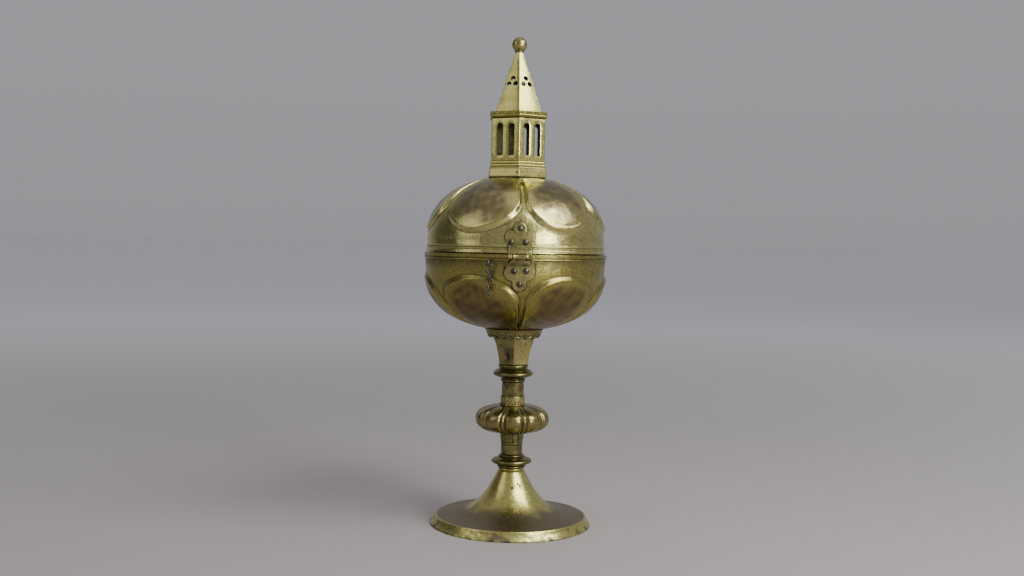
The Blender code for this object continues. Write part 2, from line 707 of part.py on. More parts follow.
def wrap_plate(mesh, on_lid, back):
    """Bends a flat plate round the bowl or lid; its Y is the depth from its back face."""
    bm = bmesh.new()
    bm.from_mesh(mesh)
    cuts = [((x, 0, 0), (1, 0, 0)) for x in PLATE_COLUMNS]
    start = Z_SEAM if on_lid else Z_RIM - BOWL_MOULD_H
    direction = 1 if on_lid else -1
    cuts += [((0, 0, start + direction * row), (0, 0, 1)) for row in PLATE_ROWS]
    for point, normal in cuts:
        geometry = bm.verts[:] + bm.edges[:] + bm.faces[:]
        bmesh.ops.bisect_plane(bm, geom=geometry, plane_co=point, plane_no=normal, dist=WELD)
    bmesh.ops.triangulate(bm, faces=bm.faces[:])
    for vertex in bm.verts:
        depth = -vertex.co.y + FIXTURE_SHEET / 2
        seat = plate_seat(vertex.co.z, on_lid)
        angle = vertex.co.x / BAND_R
        radius = seat + depth
        vertex.co.x = radius * math.sin(angle)
        vertex.co.y = -radius * math.cos(angle)
    if back:
        bmesh.ops.rotate(bm, verts=bm.verts[:], matrix=Matrix.Rotation(math.pi, 3, "Z"))
    bm.to_mesh(mesh)
    bm.free()


def trefoil_outline(tabs, direction, end, side_lobe_in):
    """A plate's outline from its tabs at the knuckles to its three lobes; direction is 1 on the lid."""
    side_level = end - direction * side_lobe_in
    lobe_level = end - direction * LOBE_R
    right = arc((SIDE_LOBE_X, side_level), SIDE_LOBE_R, *SIDE_LOBE_ARC, 3)
    top = arc((0, lobe_level), LOBE_R, *LOBE_ARC, 5)
    if direction < 0:
        right = [(x, 2 * side_level - z) for x, z in right]
        top = [(x, 2 * lobe_level - z) for x, z in top]
    left = [(-x, z) for x, z in reversed(right)]
    return [*tabs, *right, *top, *left]


def knuckle(name, start, end, turn):
    middle = (start + end) / 2
    place = turn @ Matrix.Translation((middle, -AXIS_R, AXIS_Z)) @ Matrix.Rotation(math.pi / 2, 4, "Y")
    # Half a step of turn keeps its corners off the plane of the plate
    place = place @ Matrix.Rotation(math.pi / SMALL_SIDES, 4, "Z")
    return add_cutter(name, cylinder_mesh(KNUCKLE_R, end - start, SMALL_SIDES, place))


def make_plate(name, on_lid, back):
    """One half of the clasp or hinge: a trefoil plate and the knuckles rolled from its end."""
    turn = Matrix.Rotation(math.pi if back else 0, 4, "Z")
    start, end = MIDDLE_KNUCKLE
    width = FIXTURE_HALF_W
    if on_lid:
        notch = Z_RIM + GAP
        tabs = [
            (-width, AXIS_Z), (start - GAP, AXIS_Z), (start - GAP, notch),
            (end + GAP, notch), (end + GAP, AXIS_Z), (width, AXIS_Z),
        ]
        outline = trefoil_outline(tabs, 1, Z_SEAM + LID_PLATE_H, LID_SIDE_LOBE_IN)
        spans = [(-width, start - GAP), (end + GAP, width)]
    else:
        notch = AXIS_Z - KNUCKLE_R - GAP
        tabs = [
            (-width + TAB_IN, notch), (start, notch), (start, AXIS_Z),
            (end, AXIS_Z), (end, notch), (width - TAB_IN, notch),
        ]
        outline = trefoil_outline(tabs, -1, Z_RIM - BOWL_PLATE_H, BOWL_SIDE_LOBE_IN)
        spans = [(start, end)]
    mesh = outline_mesh(outline, FIXTURE_SHEET)
    wrap_plate(mesh, on_lid, back)
    plate = add_part(name, mesh, GILT)
    for index, span in enumerate(spans):
        boolean(plate, knuckle(f"{name}_knuckle_{index}", *span, turn), "UNION")
    place = turn @ Matrix.Translation((0, -AXIS_R, AXIS_Z)) @ Matrix.Rotation(math.pi / 2, 4, "Y")
    bore = cylinder_mesh(PIN_R + GAP, width * 3, SMALL_SIDES, place)
    boolean(plate, add_cutter(f"{name}_bore", bore), "DIFFERENCE")


def make_rivet(name, x, level, on_lid, back):
    """A domed rivet head on a plate."""
    shoulder = math.sqrt(0.5)
    profile = [(0, RIVET_H), (RIVET_R * shoulder, RIVET_H * shoulder), (RIVET_R, 0), (0, 0)]
    mesh = turned(profile, SMALL_SIDES)
    dome = LID if on_lid else BOWL
    ends = plate_seat(level - RIVET_R, on_lid) + plate_seat(level + RIVET_R, on_lid)
    seat = max(plate_seat(level, on_lid), ends / 2) + FIXTURE_SHEET + GAP
    below = dome.radius_at(level - RIVET_R)
    above = dome.radius_at(level + RIVET_R)
    lean = math.atan2(below - above, RIVET_R * 2)
    angle = x / BAND_R + (math.pi if back else 0)
    place = (
        Matrix.Rotation(angle, 4, "Z")
        @ Matrix.Translation((0, -seat, level))
        @ Matrix.Rotation(math.pi / 2 - lean, 4, "X")
    )
    mesh.transform(place)
    add_part(name, mesh, IRON)


def make_fixture(prefix, lid_name, bowl_name, back):
    """The clasp or the hinge: both plates and three rivets in each."""
    make_plate(lid_name, True, back)
    make_plate(bowl_name, False, back)
    lid_end = Z_SEAM + LID_PLATE_H
    bowl_end = Z_RIM - BOWL_PLATE_H
    lid_rivets = [(0, lid_end - LOBE_R), *[(x, lid_end - LID_RIVET_IN) for x in LID_RIVET_X]]
    bowl_rivets = [(0, bowl_end + LOBE_R), *[(x, bowl_end + BOWL_RIVET_IN) for x in BOWL_RIVET_X]]
    for index, (x, level) in enumerate(lid_rivets):
        make_rivet(f"{prefix}_rivet_lid_{index + 1}", x, level, True, back)
    for index, (x, level) in enumerate(bowl_rivets):
        make_rivet(f"{prefix}_rivet_bowl_{index + 1}", x, level, False, back)


def make_hinge_pin():
    """The pin through the hinge at the back, with a small head at each end."""
    half = FIXTURE_HALF_W + GAP
    profile = [
        (0, half + PIN_HEAD_H),
        (PIN_HEAD_R, half + PIN_HEAD_H),
        (PIN_HEAD_R, half),
        (PIN_R, half),
        (PIN_R, -half),
        (PIN_HEAD_R, -half),
        (PIN_HEAD_R, -half - PIN_HEAD_H),
        (0, -half - PIN_HEAD_H),
    ]
    mesh = turned(profile, SMALL_SIDES)
    mesh.transform(Matrix.Translation((0, AXIS_R, AXIS_Z)) @ Matrix.Rotation(math.pi / 2, 4, "Y"))
    add_part("hinge_pin", mesh, GILT)


# Chain
def link_points(length, width):
    """Middle line of one link about the origin; its long way is upright, or lies where it is wider."""
    bend = min(length, width) / 2 - WIRE_R
    straight = max(length, width) / 2 - WIRE_R - bend
    top = arc((0, straight), bend, 0, 180, 3)
    bottom = arc((0, -straight), bend, 180, 360, 3)
    return [(x, 0, z) if length > width else (z, 0, x) for x, z in top + bottom]


def make_chain():
    reach = CLEAR_R + GAP + LINK_W / 2
    turn = Matrix.Rotation(math.radians(STAPLE_DEG), 4, "Z")
    quarter = Matrix.Rotation(math.pi / 2, 4, "Z")
    eye_level = Z_RIM - STAPLE_DROP - STAPLE_H / 2
    eye = wire_mesh(link_points(STAPLE_H, STAPLE_W), WIRE_R, 1)
    eye.transform(turn @ Matrix.Translation((0, -CLEAR_R - STAPLE_W / 2, eye_level)) @ quarter)
    add_part("chain_staple", eye, IRON)
    wire = WIRE_R * 2
    pitch = LINK_L - wire * 2 - GAP
    level = eye_level - STAPLE_H / 2 + wire * 2 + GAP - LINK_L / 2
    for index in range(LINKS):
        mesh = wire_mesh(link_points(LINK_L, LINK_W), WIRE_R, 1)
        place = turn @ Matrix.Translation((0, -reach, level - index * pitch))
        mesh.transform(place @ quarter if index % 2 else place)
        add_part(f"chain_link_{index + 1}", mesh, IRON)


def hang_on_hinge(names):
    """Parents the pieces that open with the lid to an empty on the hinge's axis."""
    pivot = bpy.data.objects.new("lid_pivot", None)
    PARTS.objects.link(pivot)
    pivot.location = (0, AXIS_R, AXIS_Z)
    for name in names:
        piece = bpy.data.objects[name]
        piece.parent = pivot
        piece.location = -pivot.location


clear_scene()
PARTS = new_collection("ciborium")
CUTTERS = new_collection("cutters")
CUTTERS.hide_render = True
GILT = new_material("gilt_copper", (0.52, 0.44, 0.18), 0.34, 1.0)
IRON = new_material("dark_iron", (0.09, 0.09, 0.10), 0.5, 0.8)

make_foot()
make_ring("lower_stem_ring", Z_LOWER_RING, LOWER_RING_H, LOWER_RING_EDGE, seat_above=False)
make_tube("lower_stem_tube", Z_LOWER_TUBE, LOWER_TUBE_H, LOWER_TUBE_R)
make_collar("lower_collar", Z_LOWER_COLLAR, LOWER_COLLAR_H, taper=COLLAR_TAPER)
make_knop()
make_collar("upper_collar", Z_UPPER_COLLAR, UPPER_COLLAR_H, taper=0.0)
make_tube("upper_stem_tube", Z_UPPER_TUBE, UPPER_TUBE_H, UPPER_TUBE_R)
make_ring("upper_stem_ring", Z_UPPER_RING, UPPER_RING_H, UPPER_RING_EDGE, seat_above=True)
make_neck()
make_scalloped_collar()
make_bowl()
make_lid()
make_plinth()
make_arcade()
make_cornice()
make_spire()
make_ball()
make_fixture("clasp", "clasp_plate_lid", "clasp_plate_bowl", back=False)
make_fixture("hinge", "hinge_leaf_lid", "hinge_leaf_bowl", back=True)
make_hinge_pin()
make_chain()
lid_pieces = ["lid", "tower_plinth", "tower_arcade", "tower_cornice", "spire", "finial_ball"]
lid_pieces += ["clasp_plate_lid", "hinge_leaf_lid"]
lid_pieces += [f"{prefix}_rivet_lid_{index}" for prefix in ("clasp", "hinge") for index in (1, 2, 3)]
hang_on_hinge(lid_pieces)
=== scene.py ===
# Ciborium of gilt copper: the fine surface, finish and setting of the solids in the frame.
# Sizes are in millimetres here and turned to metres where a mesh is made. The front is -Y.
import math

import bmesh
import bpy
import numpy as np
from mathutils import Matrix, Vector


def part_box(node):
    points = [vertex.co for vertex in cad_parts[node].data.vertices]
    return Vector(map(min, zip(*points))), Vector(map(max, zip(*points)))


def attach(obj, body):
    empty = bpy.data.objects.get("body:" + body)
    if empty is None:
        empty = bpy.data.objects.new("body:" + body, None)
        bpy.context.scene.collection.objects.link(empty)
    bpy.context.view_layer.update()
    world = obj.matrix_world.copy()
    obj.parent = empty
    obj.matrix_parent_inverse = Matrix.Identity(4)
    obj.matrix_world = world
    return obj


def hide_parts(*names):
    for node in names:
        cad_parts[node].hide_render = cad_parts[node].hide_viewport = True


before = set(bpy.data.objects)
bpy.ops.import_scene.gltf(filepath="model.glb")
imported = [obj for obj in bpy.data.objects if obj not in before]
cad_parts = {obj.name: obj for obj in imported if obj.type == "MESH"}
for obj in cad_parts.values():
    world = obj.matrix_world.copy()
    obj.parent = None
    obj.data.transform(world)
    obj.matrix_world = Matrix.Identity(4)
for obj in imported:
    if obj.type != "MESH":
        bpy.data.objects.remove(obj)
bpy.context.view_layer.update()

mm = 0.001
front = -math.pi / 2
fullTurn = 2 * math.pi


# Small helpers
def hexColour(value):
    # sRGB hex to linear
    channels = [int(value[i:i + 2], 16) / 255 for i in (1, 3, 5)]
    return [c / 12.92 if c <= 0.04045 else ((c + 0.055) / 1.055) ** 2.4 for c in channels] + [1.0]


def addNode(tree, kind, inputs=None, **settings):
    # inputs maps a socket's name or number to a value, or to the socket or the node that feeds it; a node
    # stands for its first output
    node = tree.nodes.new(kind)
    for key, value in settings.items():
        setattr(node, key, value)
    for key, value in (inputs or {}).items():
        if isinstance(value, bpy.types.Node):
            value = value.outputs[0]
        if isinstance(value, bpy.types.NodeSocket):
            tree.links.new(value, node.inputs[key])
        else:
            node.inputs[key].default_value = value
    return node


def newObject(name, data):
    obj = bpy.data.objects.new(name, data)
    bpy.context.collection.objects.link(obj)
    return obj


def meshObject(name, bm):
    mesh = bpy.data.meshes.new(name)
    bm.to_mesh(mesh)
    bm.free()
    return newObject(name, mesh)


def spotsOf(obj):
    # The points of a piece, in mm
    return np.array([v.co for v in obj.data.vertices]) / mm


def paint(obj, name, values):
    # Keeps a value at each point, which the materials read by its name
    layer = obj.data.attributes.new(name, "FLOAT", "POINT")
    layer.data.foreach_set("value", values.astype(np.float32))


def smooth(low, high, value):
    share = np.clip((value - low) / (high - low), 0, 1)
    return share * share * (3 - 2 * share)


def hump(value, width):
    # 1 where the value is 0, falling to almost nothing at twice the width
    return np.exp(-(value / width) ** 2)


def wobble(points, size, seed):
    # Soft uneven values about -1 to 1 over points, with lumps about that many mm across
    rng = np.random.default_rng(seed)
    total = np.zeros(points.shape[:-1])
    for _ in range(9):
        direction = rng.normal(size=3)
        direction /= np.linalg.norm(direction)
        pitch = size * rng.uniform(0.7, 1.6)
        total += np.sin(points @ direction * fullTurn / pitch + rng.uniform(0, fullTurn))
    return total / 4.2


def curved(points, steps):
    # A smooth line through the points, with that many steps to each span
    points = np.array(points, float)
    ends = np.vstack([2 * points[0] - points[1], points, 2 * points[-1] - points[-2]])
    line = []
    for a, b, c, d in zip(ends, ends[1:], ends[2:], ends[3:]):
        for step in range(steps):
            t = step / steps
            line.append(0.5 * (2 * b + (c - a) * t + (2 * a - 5 * b + 4 * c - d) * t ** 2
                               + (3 * b - a - 3 * c + d) * t ** 3))
    line.append(points[-1])
    return [tuple(p) for p in line]


def straight(points, steps):
    line = [points[0]]
    for (r0, z0), (r1, z1) in zip(points, points[1:]):
        line += [(r0 + (r1 - r0) * i / steps, z0 + (z1 - z0) * i / steps) for i in range(1, steps + 1)]
    return line


def bead(radius, top, bottom, out, steps=8):
    # Half-round moulding between two levels
    middle, half = (top + bottom) / 2, (top - bottom) / 2
    angles = [math.pi * i / steps for i in range(steps + 1)]
    return [(radius + out * math.sin(a), middle + half * math.cos(a)) for a in angles]


def surface(name, grid, ring=False, sharp=40, **values):
    # A closed skin over a grid of points in mm, rows down and columns round. Its first and last rows are drawn
    # together to single points, or in a ring the last row meets the first. The values are kept at its points.
    rows, columns = grid.shape[:2]
    index = np.arange(rows * columns).reshape(rows, columns)
    keep = np.ones(rows * columns, bool)
    if not ring:
        for pole in (0, -1):
            grid[pole] = grid[pole].mean(0)
            index[pole] = index[pole, 0]
        keep[1:columns] = False
        keep[(rows - 1) * columns + 1:] = False
    renumber = np.cumsum(keep) - 1
    index = renumber[index]
    down = np.vstack([index[1:], index[:1]]) if ring else index[1:]
    up = index if ring else index[:-1]
    a, b, c, d = up, np.roll(up, -1, 1), np.roll(down, -1, 1), down
    quads = np.stack([a, b, c, d], -1).reshape(-1, 4)
    points = grid.reshape(-1, 3)[keep] * mm
    first, second, third = points[quads[:, 0]], points[quads[:, 1]], points[quads[:, 2]]
    fourth = points[quads[:, 3]]
    volume = (np.einsum("ij,ij->i", first, np.cross(second, third)).sum()
              + np.einsum("ij,ij->i", first, np.cross(third, fourth)).sum())
    if volume < 0:
        quads = quads[:, ::-1]
    faces = []
    for quad in quads.tolist():
        face = list(dict.fromkeys(quad))
        if len(face) > 2:
            faces.append(face)
    mesh = bpy.data.meshes.new(name)
    mesh.from_pydata(points.tolist(), [], faces)
    for key, value in values.items():
        layer = mesh.attributes.new(key, "FLOAT", "POINT")
        layer.data.foreach_set("value", value.reshape(-1)[keep].astype(np.float32))
    mesh.shade_smooth()
    mesh.set_sharp_from_angle(angle=math.radians(sharp))
    return newObject(name, mesh)


def turnedGrid(profile, columns):
    # columns is a number of even steps, or their azimuths counted from the front
    profile = np.array(profile, float)
    steps = np.arange(columns) * fullTurn / columns if isinstance(columns, int) else columns
    azimuth = front + steps
    grid = np.zeros((len(profile), len(azimuth), 3))
    grid[..., 0] = profile[:, :1] * np.cos(azimuth)
    grid[..., 1] = profile[:, :1] * np.sin(azimuth)
    grid[..., 2] = profile[:, 1:]
    return grid


def fromAxis(grid):
    # Radius, and azimuth counted from the front
    radius = np.hypot(grid[..., 0], grid[..., 1])
    return radius, (np.arctan2(grid[..., 1], grid[..., 0]) - front) % fullTurn


def eitherSide(azimuth):
    # Azimuth from minus to plus half a turn, with 0 at the front
    return (azimuth + math.pi) % fullTurn - math.pi


def setRadius(grid, radius):
    old = np.maximum(np.hypot(grid[..., 0], grid[..., 1]), 1e-6)
    grid[..., 0] *= radius / old
    grid[..., 1] *= radius / old


def place(obj, material, body, slot, *nodes):
    obj.data.materials.clear()
    obj.data.materials.append(material)
    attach(obj, body)
    if nodes:
        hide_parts(*nodes)


def settled(obj, name):
    # The object with its modifiers made plain mesh
    bpy.context.view_layer.update()
    mesh = bpy.data.meshes.new_from_object(obj.evaluated_get(bpy.context.evaluated_depsgraph_get()))
    bpy.data.objects.remove(obj, do_unlink=True)
    mesh.name = name
    return newObject(name, mesh)


# Materials
def newMaterial(name):
    material = bpy.data.materials.new(name)
    material.use_nodes = True
    material.node_tree.nodes.clear()
    return material, material.node_tree


def giltCopper(name, look):
    # Mercury-gilt copper: a thin greenish gold over hammered sheet. Where hands and cloths have rubbed it the
    # brown copper shows through and dark tarnish sits in pits. The tarnish colour is also painted into corners
    # as shade.
    material, tree = newMaterial(name)
    here = addNode(tree, "ShaderNodeTexCoord").outputs["Object"]
    worn = addNode(tree, "ShaderNodeAttribute", attribute_name="worn").outputs["Fac"]
    grime = addNode(tree, "ShaderNodeAttribute", attribute_name="grime").outputs["Fac"]
    # Patches of wear, mottling, spots and grain, each as wide as the look says
    patches = addNode(tree, "ShaderNodeTexNoise", {
        "Vector": here, "Scale": 1000 / look["patchMm"], "Detail": 8.0, "Roughness": 0.7})
    mottle = addNode(tree, "ShaderNodeTexNoise", {
        "Vector": here, "Scale": 1000 / look["mottleMm"], "Detail": 6.0, "Roughness": 0.7})
    grain = addNode(tree, "ShaderNodeTexNoise", {
        "Vector": here, "Scale": 1000 / look["grainMm"], "Detail": 3.0, "Roughness": 0.6})
    spots = addNode(tree, "ShaderNodeTexNoise", {
        "Vector": here, "Scale": 1000 / look["spotMm"], "Detail": 8.0, "Roughness": 0.64,
        "Distortion": 0.6})
    uneven = addNode(tree, "ShaderNodeMath", {0: patches, 1: 0.5}, operation="MULTIPLY")
    uneven = addNode(tree, "ShaderNodeMath", {0: mottle, 1: 0.5, 2: uneven}, operation="MULTIPLY_ADD")
    wornSum = addNode(tree, "ShaderNodeMath", {0: worn, 1: look["wornGain"], 2: uneven},
                      operation="MULTIPLY_ADD")
    wornMask = addNode(tree, "ShaderNodeMapRange", {
        "Value": wornSum, "From Min": look["wornFrom"], "From Max": look["wornFrom"] + 0.30})
    specks = addNode(tree, "ShaderNodeMapRange", {
        "Value": spots, "From Min": look["specksFrom"], "From Max": look["specksFrom"] + 0.10})
    # The points' values lay a smooth dark film: dirt in places, and painted shade in creases, hollows and under
    # edges
    filmAndShadeSum = addNode(tree, "ShaderNodeMath", {0: spots, 1: 0.6, 2: grime}, operation="MULTIPLY_ADD")
    filmAndShade = addNode(tree, "ShaderNodeMapRange", {
        "Value": filmAndShadeSum, "From Min": 0.36, "From Max": 0.90, "To Max": 0.92})
    grimeMask = addNode(tree, "ShaderNodeMath", {0: specks, 1: filmAndShade}, operation="MAXIMUM")
    broad = addNode(tree, "ShaderNodeMath", {0: patches, 1: 0.8, 2: mottle}, operation="MULTIPLY_ADD")
    tone = addNode(tree, "ShaderNodeMapRange", {"Value": broad, "From Min": 0.68, "From Max": 1.12})
    gold = addNode(tree, "ShaderNodeMix", {
        0: tone, 6: hexColour(look["goldShade"]), 7: hexColour(look["gold"])}, data_type="RGBA").outputs[2]
    copper = addNode(tree, "ShaderNodeMix", {
        0: tone, 6: hexColour(look["copperShade"]), 7: hexColour(look["copper"])}, data_type="RGBA").outputs[2]
    skin = addNode(tree, "ShaderNodeMix", {0: wornMask, 6: gold, 7: copper}, data_type="RGBA").outputs[2]
    colour = addNode(tree, "ShaderNodeMix", {
        0: grimeMask, 6: skin, 7: hexColour(look["tarnishAndShade"])}, data_type="RGBA").outputs[2]
    polish = addNode(tree, "ShaderNodeMapRange", {
        "Value": mottle, "From Min": 0.3, "From Max": 0.7, "To Min": look["roughness"] - 0.05,
        "To Max": look["roughness"] + 0.07})
    rough = addNode(tree, "ShaderNodeMath", {0: wornMask, 1: look["wornRough"], 2: polish},
                    operation="MULTIPLY_ADD")
    rough = addNode(tree, "ShaderNodeMath", {0: grimeMask, 1: 0.22, 2: rough}, operation="MULTIPLY_ADD")
    metal = addNode(tree, "ShaderNodeMapRange", {"Value": grimeMask, "To Min": 1.0, "To Max": 0.45})
    # Planishing marks of the hammer; bumpMm is the depth of all the relief
    hammer = addNode(tree, "ShaderNodeTexVoronoi", {
        "Vector": here, "Scale": 1000 / look["hammerMm"], "Smoothness": 0.6},
        feature="SMOOTH_F1").outputs["Distance"]
    relief = addNode(tree, "ShaderNodeMath", {0: mottle, 1: 0.55, 2: hammer}, operation="MULTIPLY_ADD")
    relief = addNode(tree, "ShaderNodeMath", {0: grain, 1: 0.10, 2: relief}, operation="MULTIPLY_ADD")
    relief = addNode(tree, "ShaderNodeMath", {0: grimeMask, 1: -0.35, 2: relief},
                     operation="MULTIPLY_ADD")
    bump = addNode(tree, "ShaderNodeBump", {
        "Height": relief, "Strength": 1.0, "Distance": look["bumpMm"] * mm})
    shader = addNode(tree, "ShaderNodeBsdfPrincipled", {
        "Base Color": colour, "Roughness": rough, "Metallic": metal, "Normal": bump})
    addNode(tree, "ShaderNodeOutputMaterial", {"Surface": shader})
    return material


def wroughtIron(name, look):
    # Blackened wrought iron: half matt, with brighter rubbed grain
    material, tree = newMaterial(name)
    here = addNode(tree, "ShaderNodeTexCoord").outputs["Object"]
    scale = addNode(tree, "ShaderNodeTexNoise", {
        "Vector": here, "Scale": 1000 / look["grainMm"], "Detail": 5.0, "Roughness": 0.65})
    tone = addNode(tree, "ShaderNodeMapRange", {"Value": scale, "From Min": 0.36, "From Max": 0.66})
    colour = addNode(tree, "ShaderNodeMix", {
        0: tone, 6: hexColour(look["shade"]), 7: hexColour(look["light"])}, data_type="RGBA").outputs[2]
    rough = addNode(tree, "ShaderNodeMapRange", {
        "Value": scale, "To Min": look["roughness"] + 0.1, "To Max": look["roughness"] - 0.1})
    bump = addNode(tree, "ShaderNodeBump", {"Height": scale, "Strength": 1.0, "Distance": look["bumpMm"] * mm})
    shader = addNode(tree, "ShaderNodeBsdfPrincipled", {
        "Base Color": colour, "Roughness": rough, "Metallic": look["metallic"], "Normal": bump})
    addNode(tree, "ShaderNodeOutputMaterial", {"Surface": shader})
    return material


giltLook = {
    "gold": "#c8c079", "goldShade": "#a09a5a", "copper": "#8b7f65", "copperShade": "#6d6049",
    "tarnishAndShade": "#1d1a12", "patchMm": 4.5, "mottleMm": 1.3, "spotMm": 3.2, "wornGain": 0.34, "wornFrom": 0.60,
    "specksFrom": 0.72, "roughness": 0.25, "wornRough": 0.10, "bumpMm": 0.15,
    "hammerMm": 5.0, "grainMm": 0.5,
}
bowlGilt = giltCopper("Gilt copper, bowl", {**giltLook, "gold": "#aca35a", "goldShade": "#857d43",
                                            "copper": "#76644a", "copperShade": "#594a37", "wornFrom": 0.55})
lidGilt = giltCopper("Gilt copper, lid", {**giltLook, "gold": "#d8d086", "goldShade": "#a39c5e",
                                          "roughness": 0.20, "wornFrom": 0.55})
towerGilt = giltCopper("Gilt copper, tower", {**giltLook, "gold": "#d3cd7c", "goldShade": "#b2ab60",
                                              "copper": "#857a58", "copperShade": "#6b6144", "patchMm": 5.0,
                                              "roughness": 0.24, "wornFrom": 0.57, "bumpMm": 0.10,
                                              "specksFrom": 0.68})
stemGilt = giltCopper("Gilt copper, stem", {**giltLook, "gold": "#979059", "goldShade": "#6a6340",
                                            "copper": "#706246", "copperShade": "#4a3e29", "roughness": 0.27,
                                            "patchMm": 5.0, "bumpMm": 0.05})
footGilt = giltCopper("Gilt copper, foot", {**giltLook, "gold": "#ddd684", "goldShade": "#b3aa60",
                                            "copper": "#8f8366", "copperShade": "#6f644b", "wornGain": 0.42,
                                            "roughness": 0.24, "wornRough": 0.18, "bumpMm": 0.09})
neckGilt = giltCopper("Gilt copper, neck", {**giltLook, "gold": "#bfb676", "goldShade": "#8f8857",
                                            "copper": "#7d6f52", "copperShade": "#594c36", "roughness": 0.28,
                                            "patchMm": 4.0, "bumpMm": 0.05})
knopGilt = giltCopper("Gilt copper, knop", {**giltLook, "gold": "#b8ae68", "goldShade": "#7f774a",
                                            "copper": "#6c6352", "copperShade": "#443c30", "roughness": 0.22,
                                            "wornFrom": 0.42, "patchMm": 6.0, "bumpMm": 0.08})
fixtureGilt = giltCopper("Gilt copper, clasp", {**giltLook, "gold": "#bdb572", "goldShade": "#8b8350",
                                                "bumpMm": 0.04})
ironLook = {
    "shade": "#37342d", "light": "#76705f", "roughness": 0.28, "metallic": 0.9, "grainMm": 0.8, "bumpMm": 0.08,
}
darkIron = wroughtIron("Blackened wrought iron", ironLook)
chainIron = wroughtIron("Rubbed iron wire", {**ironLook, "shade": "#35332f", "light": "#75716a",
                                             "roughness": 0.34})
print("materials made")


# Foot
foot = {
    "columns": 256,
    "topMm": [(0, 34.2), (3.5, 34.2), (7.4, 34.2)], "bead": (7.4, 34.15, 33.0, 0.5),
    "underBeadMm": [(7.3, 32.8), (7.7, 32.5)], "insideTopMm": [(3.5, 31.8), (0, 31.8)],
    "coneMm": [(8.1, 32.2), (8.7, 31.0), (11.0, 26.6), (14.1, 21.2), (18.6, 15.6), (24.0, 10.9), (31.0, 7.8),
               (38.0, 6.4), (44.7, 5.6)],
    "flangeMm": [(45.3, 5.45), (45.6, 5.0), (46.1, 3.7), (47.1, 2.0), (48.0, 0.9), (48.25, 0.3), (48.1, 0.0)],
    "insideMm": [(46.9, 0.0), (46.2, 1.4), (44.9, 3.3), (43.6, 4.1), (38.0, 4.9), (31.0, 6.3), (23.2, 9.5),
                 (17.5, 14.4), (13.0, 20.2), (9.6, 25.8), (6.8, 30.6)],
    "pits": [(0, 23.8, 0.7), (18, 25.8, 0.5), (24, 24.6, 0.6)],  # degrees from the front, height, radius
}


def makeFoot():
    outside = foot["topMm"] + bead(*foot["bead"]) + foot["underBeadMm"]
    outside += curved(foot["coneMm"], 14)
    rimStart = len(outside)
    outside += curved(foot["flangeMm"], 6)
    inside = curved(foot["insideMm"], 5) + foot["insideTopMm"]
    grid = turnedGrid(outside + inside, foot["columns"])
    radius, azimuth = fromAxis(grid)
    level = grid[..., 2].copy()
    outer = np.zeros(radius.shape, bool)
    outer[:len(outside)] = True
    # The disc was beaten thin and is slightly wavy, and the flange's edge is nicked
    grid[..., 2] += (np.where(outer, 0.12, 0.1) * wobble(grid, 26, 3)
                     * smooth(20, 34, radius) * smooth(0.4, 3, level))
    nicks = np.clip(wobble(grid, 5, 8) - 0.35, 0, 1)
    edge = (1 - smooth(0.3, 1.6, level)) * outer * smooth(45, 47, radius)
    setRadius(grid, radius - 0.55 * nicks * edge - 0.10 * (1 + wobble(grid, 12, 5)) * smooth(30, 44, radius))
    worn = smooth(17, 30, radius + 2.8 * wobble(grid, 9, 21)) * (1 - smooth(44.4, 45.1, radius)) * outer
    flange = smooth(45.2, 45.8, radius) * outer
    grime = flange * (0.16 + 0.20 * wobble(grid, 2.5, 9) + 0.25 * (1 - smooth(0.2, 1.4, level)))
    worn += 0.9 * flange * smooth(0.2, 0.8, wobble(grid, 8, 10))
    # The inside of the foot and its top under the ring are painted dark as shade
    grime += (1 - outer) * 0.55
    grime[:16] += 0.25 * (radius[:16] < 7.75)
    for degrees, height, size in foot["pits"]:
        away = (eitherSide(azimuth) - math.radians(degrees)) * radius
        grime += 1.2 * np.exp(-(away ** 2 + (level - height) ** 2) / size ** 2) * outer
    grime[rimStart:rimStart + 6] -= 0.2
    obj = surface("footShell", grid, worn=worn, grime=grime)
    place(obj, footGilt, "base", "gilt_copper", "foot")


makeFoot()
print("foot made")


# Stem
stem = {
    "columns": 144,
    "lowerRingMm": [(7.7, 40.75), (8.5, 40.4), (10.3, 39.8), (11.6, 39.1), (12.15, 38.2), (11.8, 37.4),
                    (10.7, 36.8), (8.8, 36.2)],
    "upperRingMm": [(8.3, 94.5), (8.8, 94.0), (10.4, 93.1), (11.6, 92.1), (12.1, 91.2), (11.8, 90.3),
                    (10.6, 89.5), (8.3, 88.6)],
    "lowerTube": (6.5, 42.5, 48.4),  # radius, bottom and top
    "upperTube": (6.7, 77.9, 86.0),
    "lowerCollar": (7.35, 6.55, 48.7, 55.7),  # radius above, radius below, bottom and top
    "upperCollar": (7.3, 7.2, 71.8, 77.6),
    "panels": 10,
}


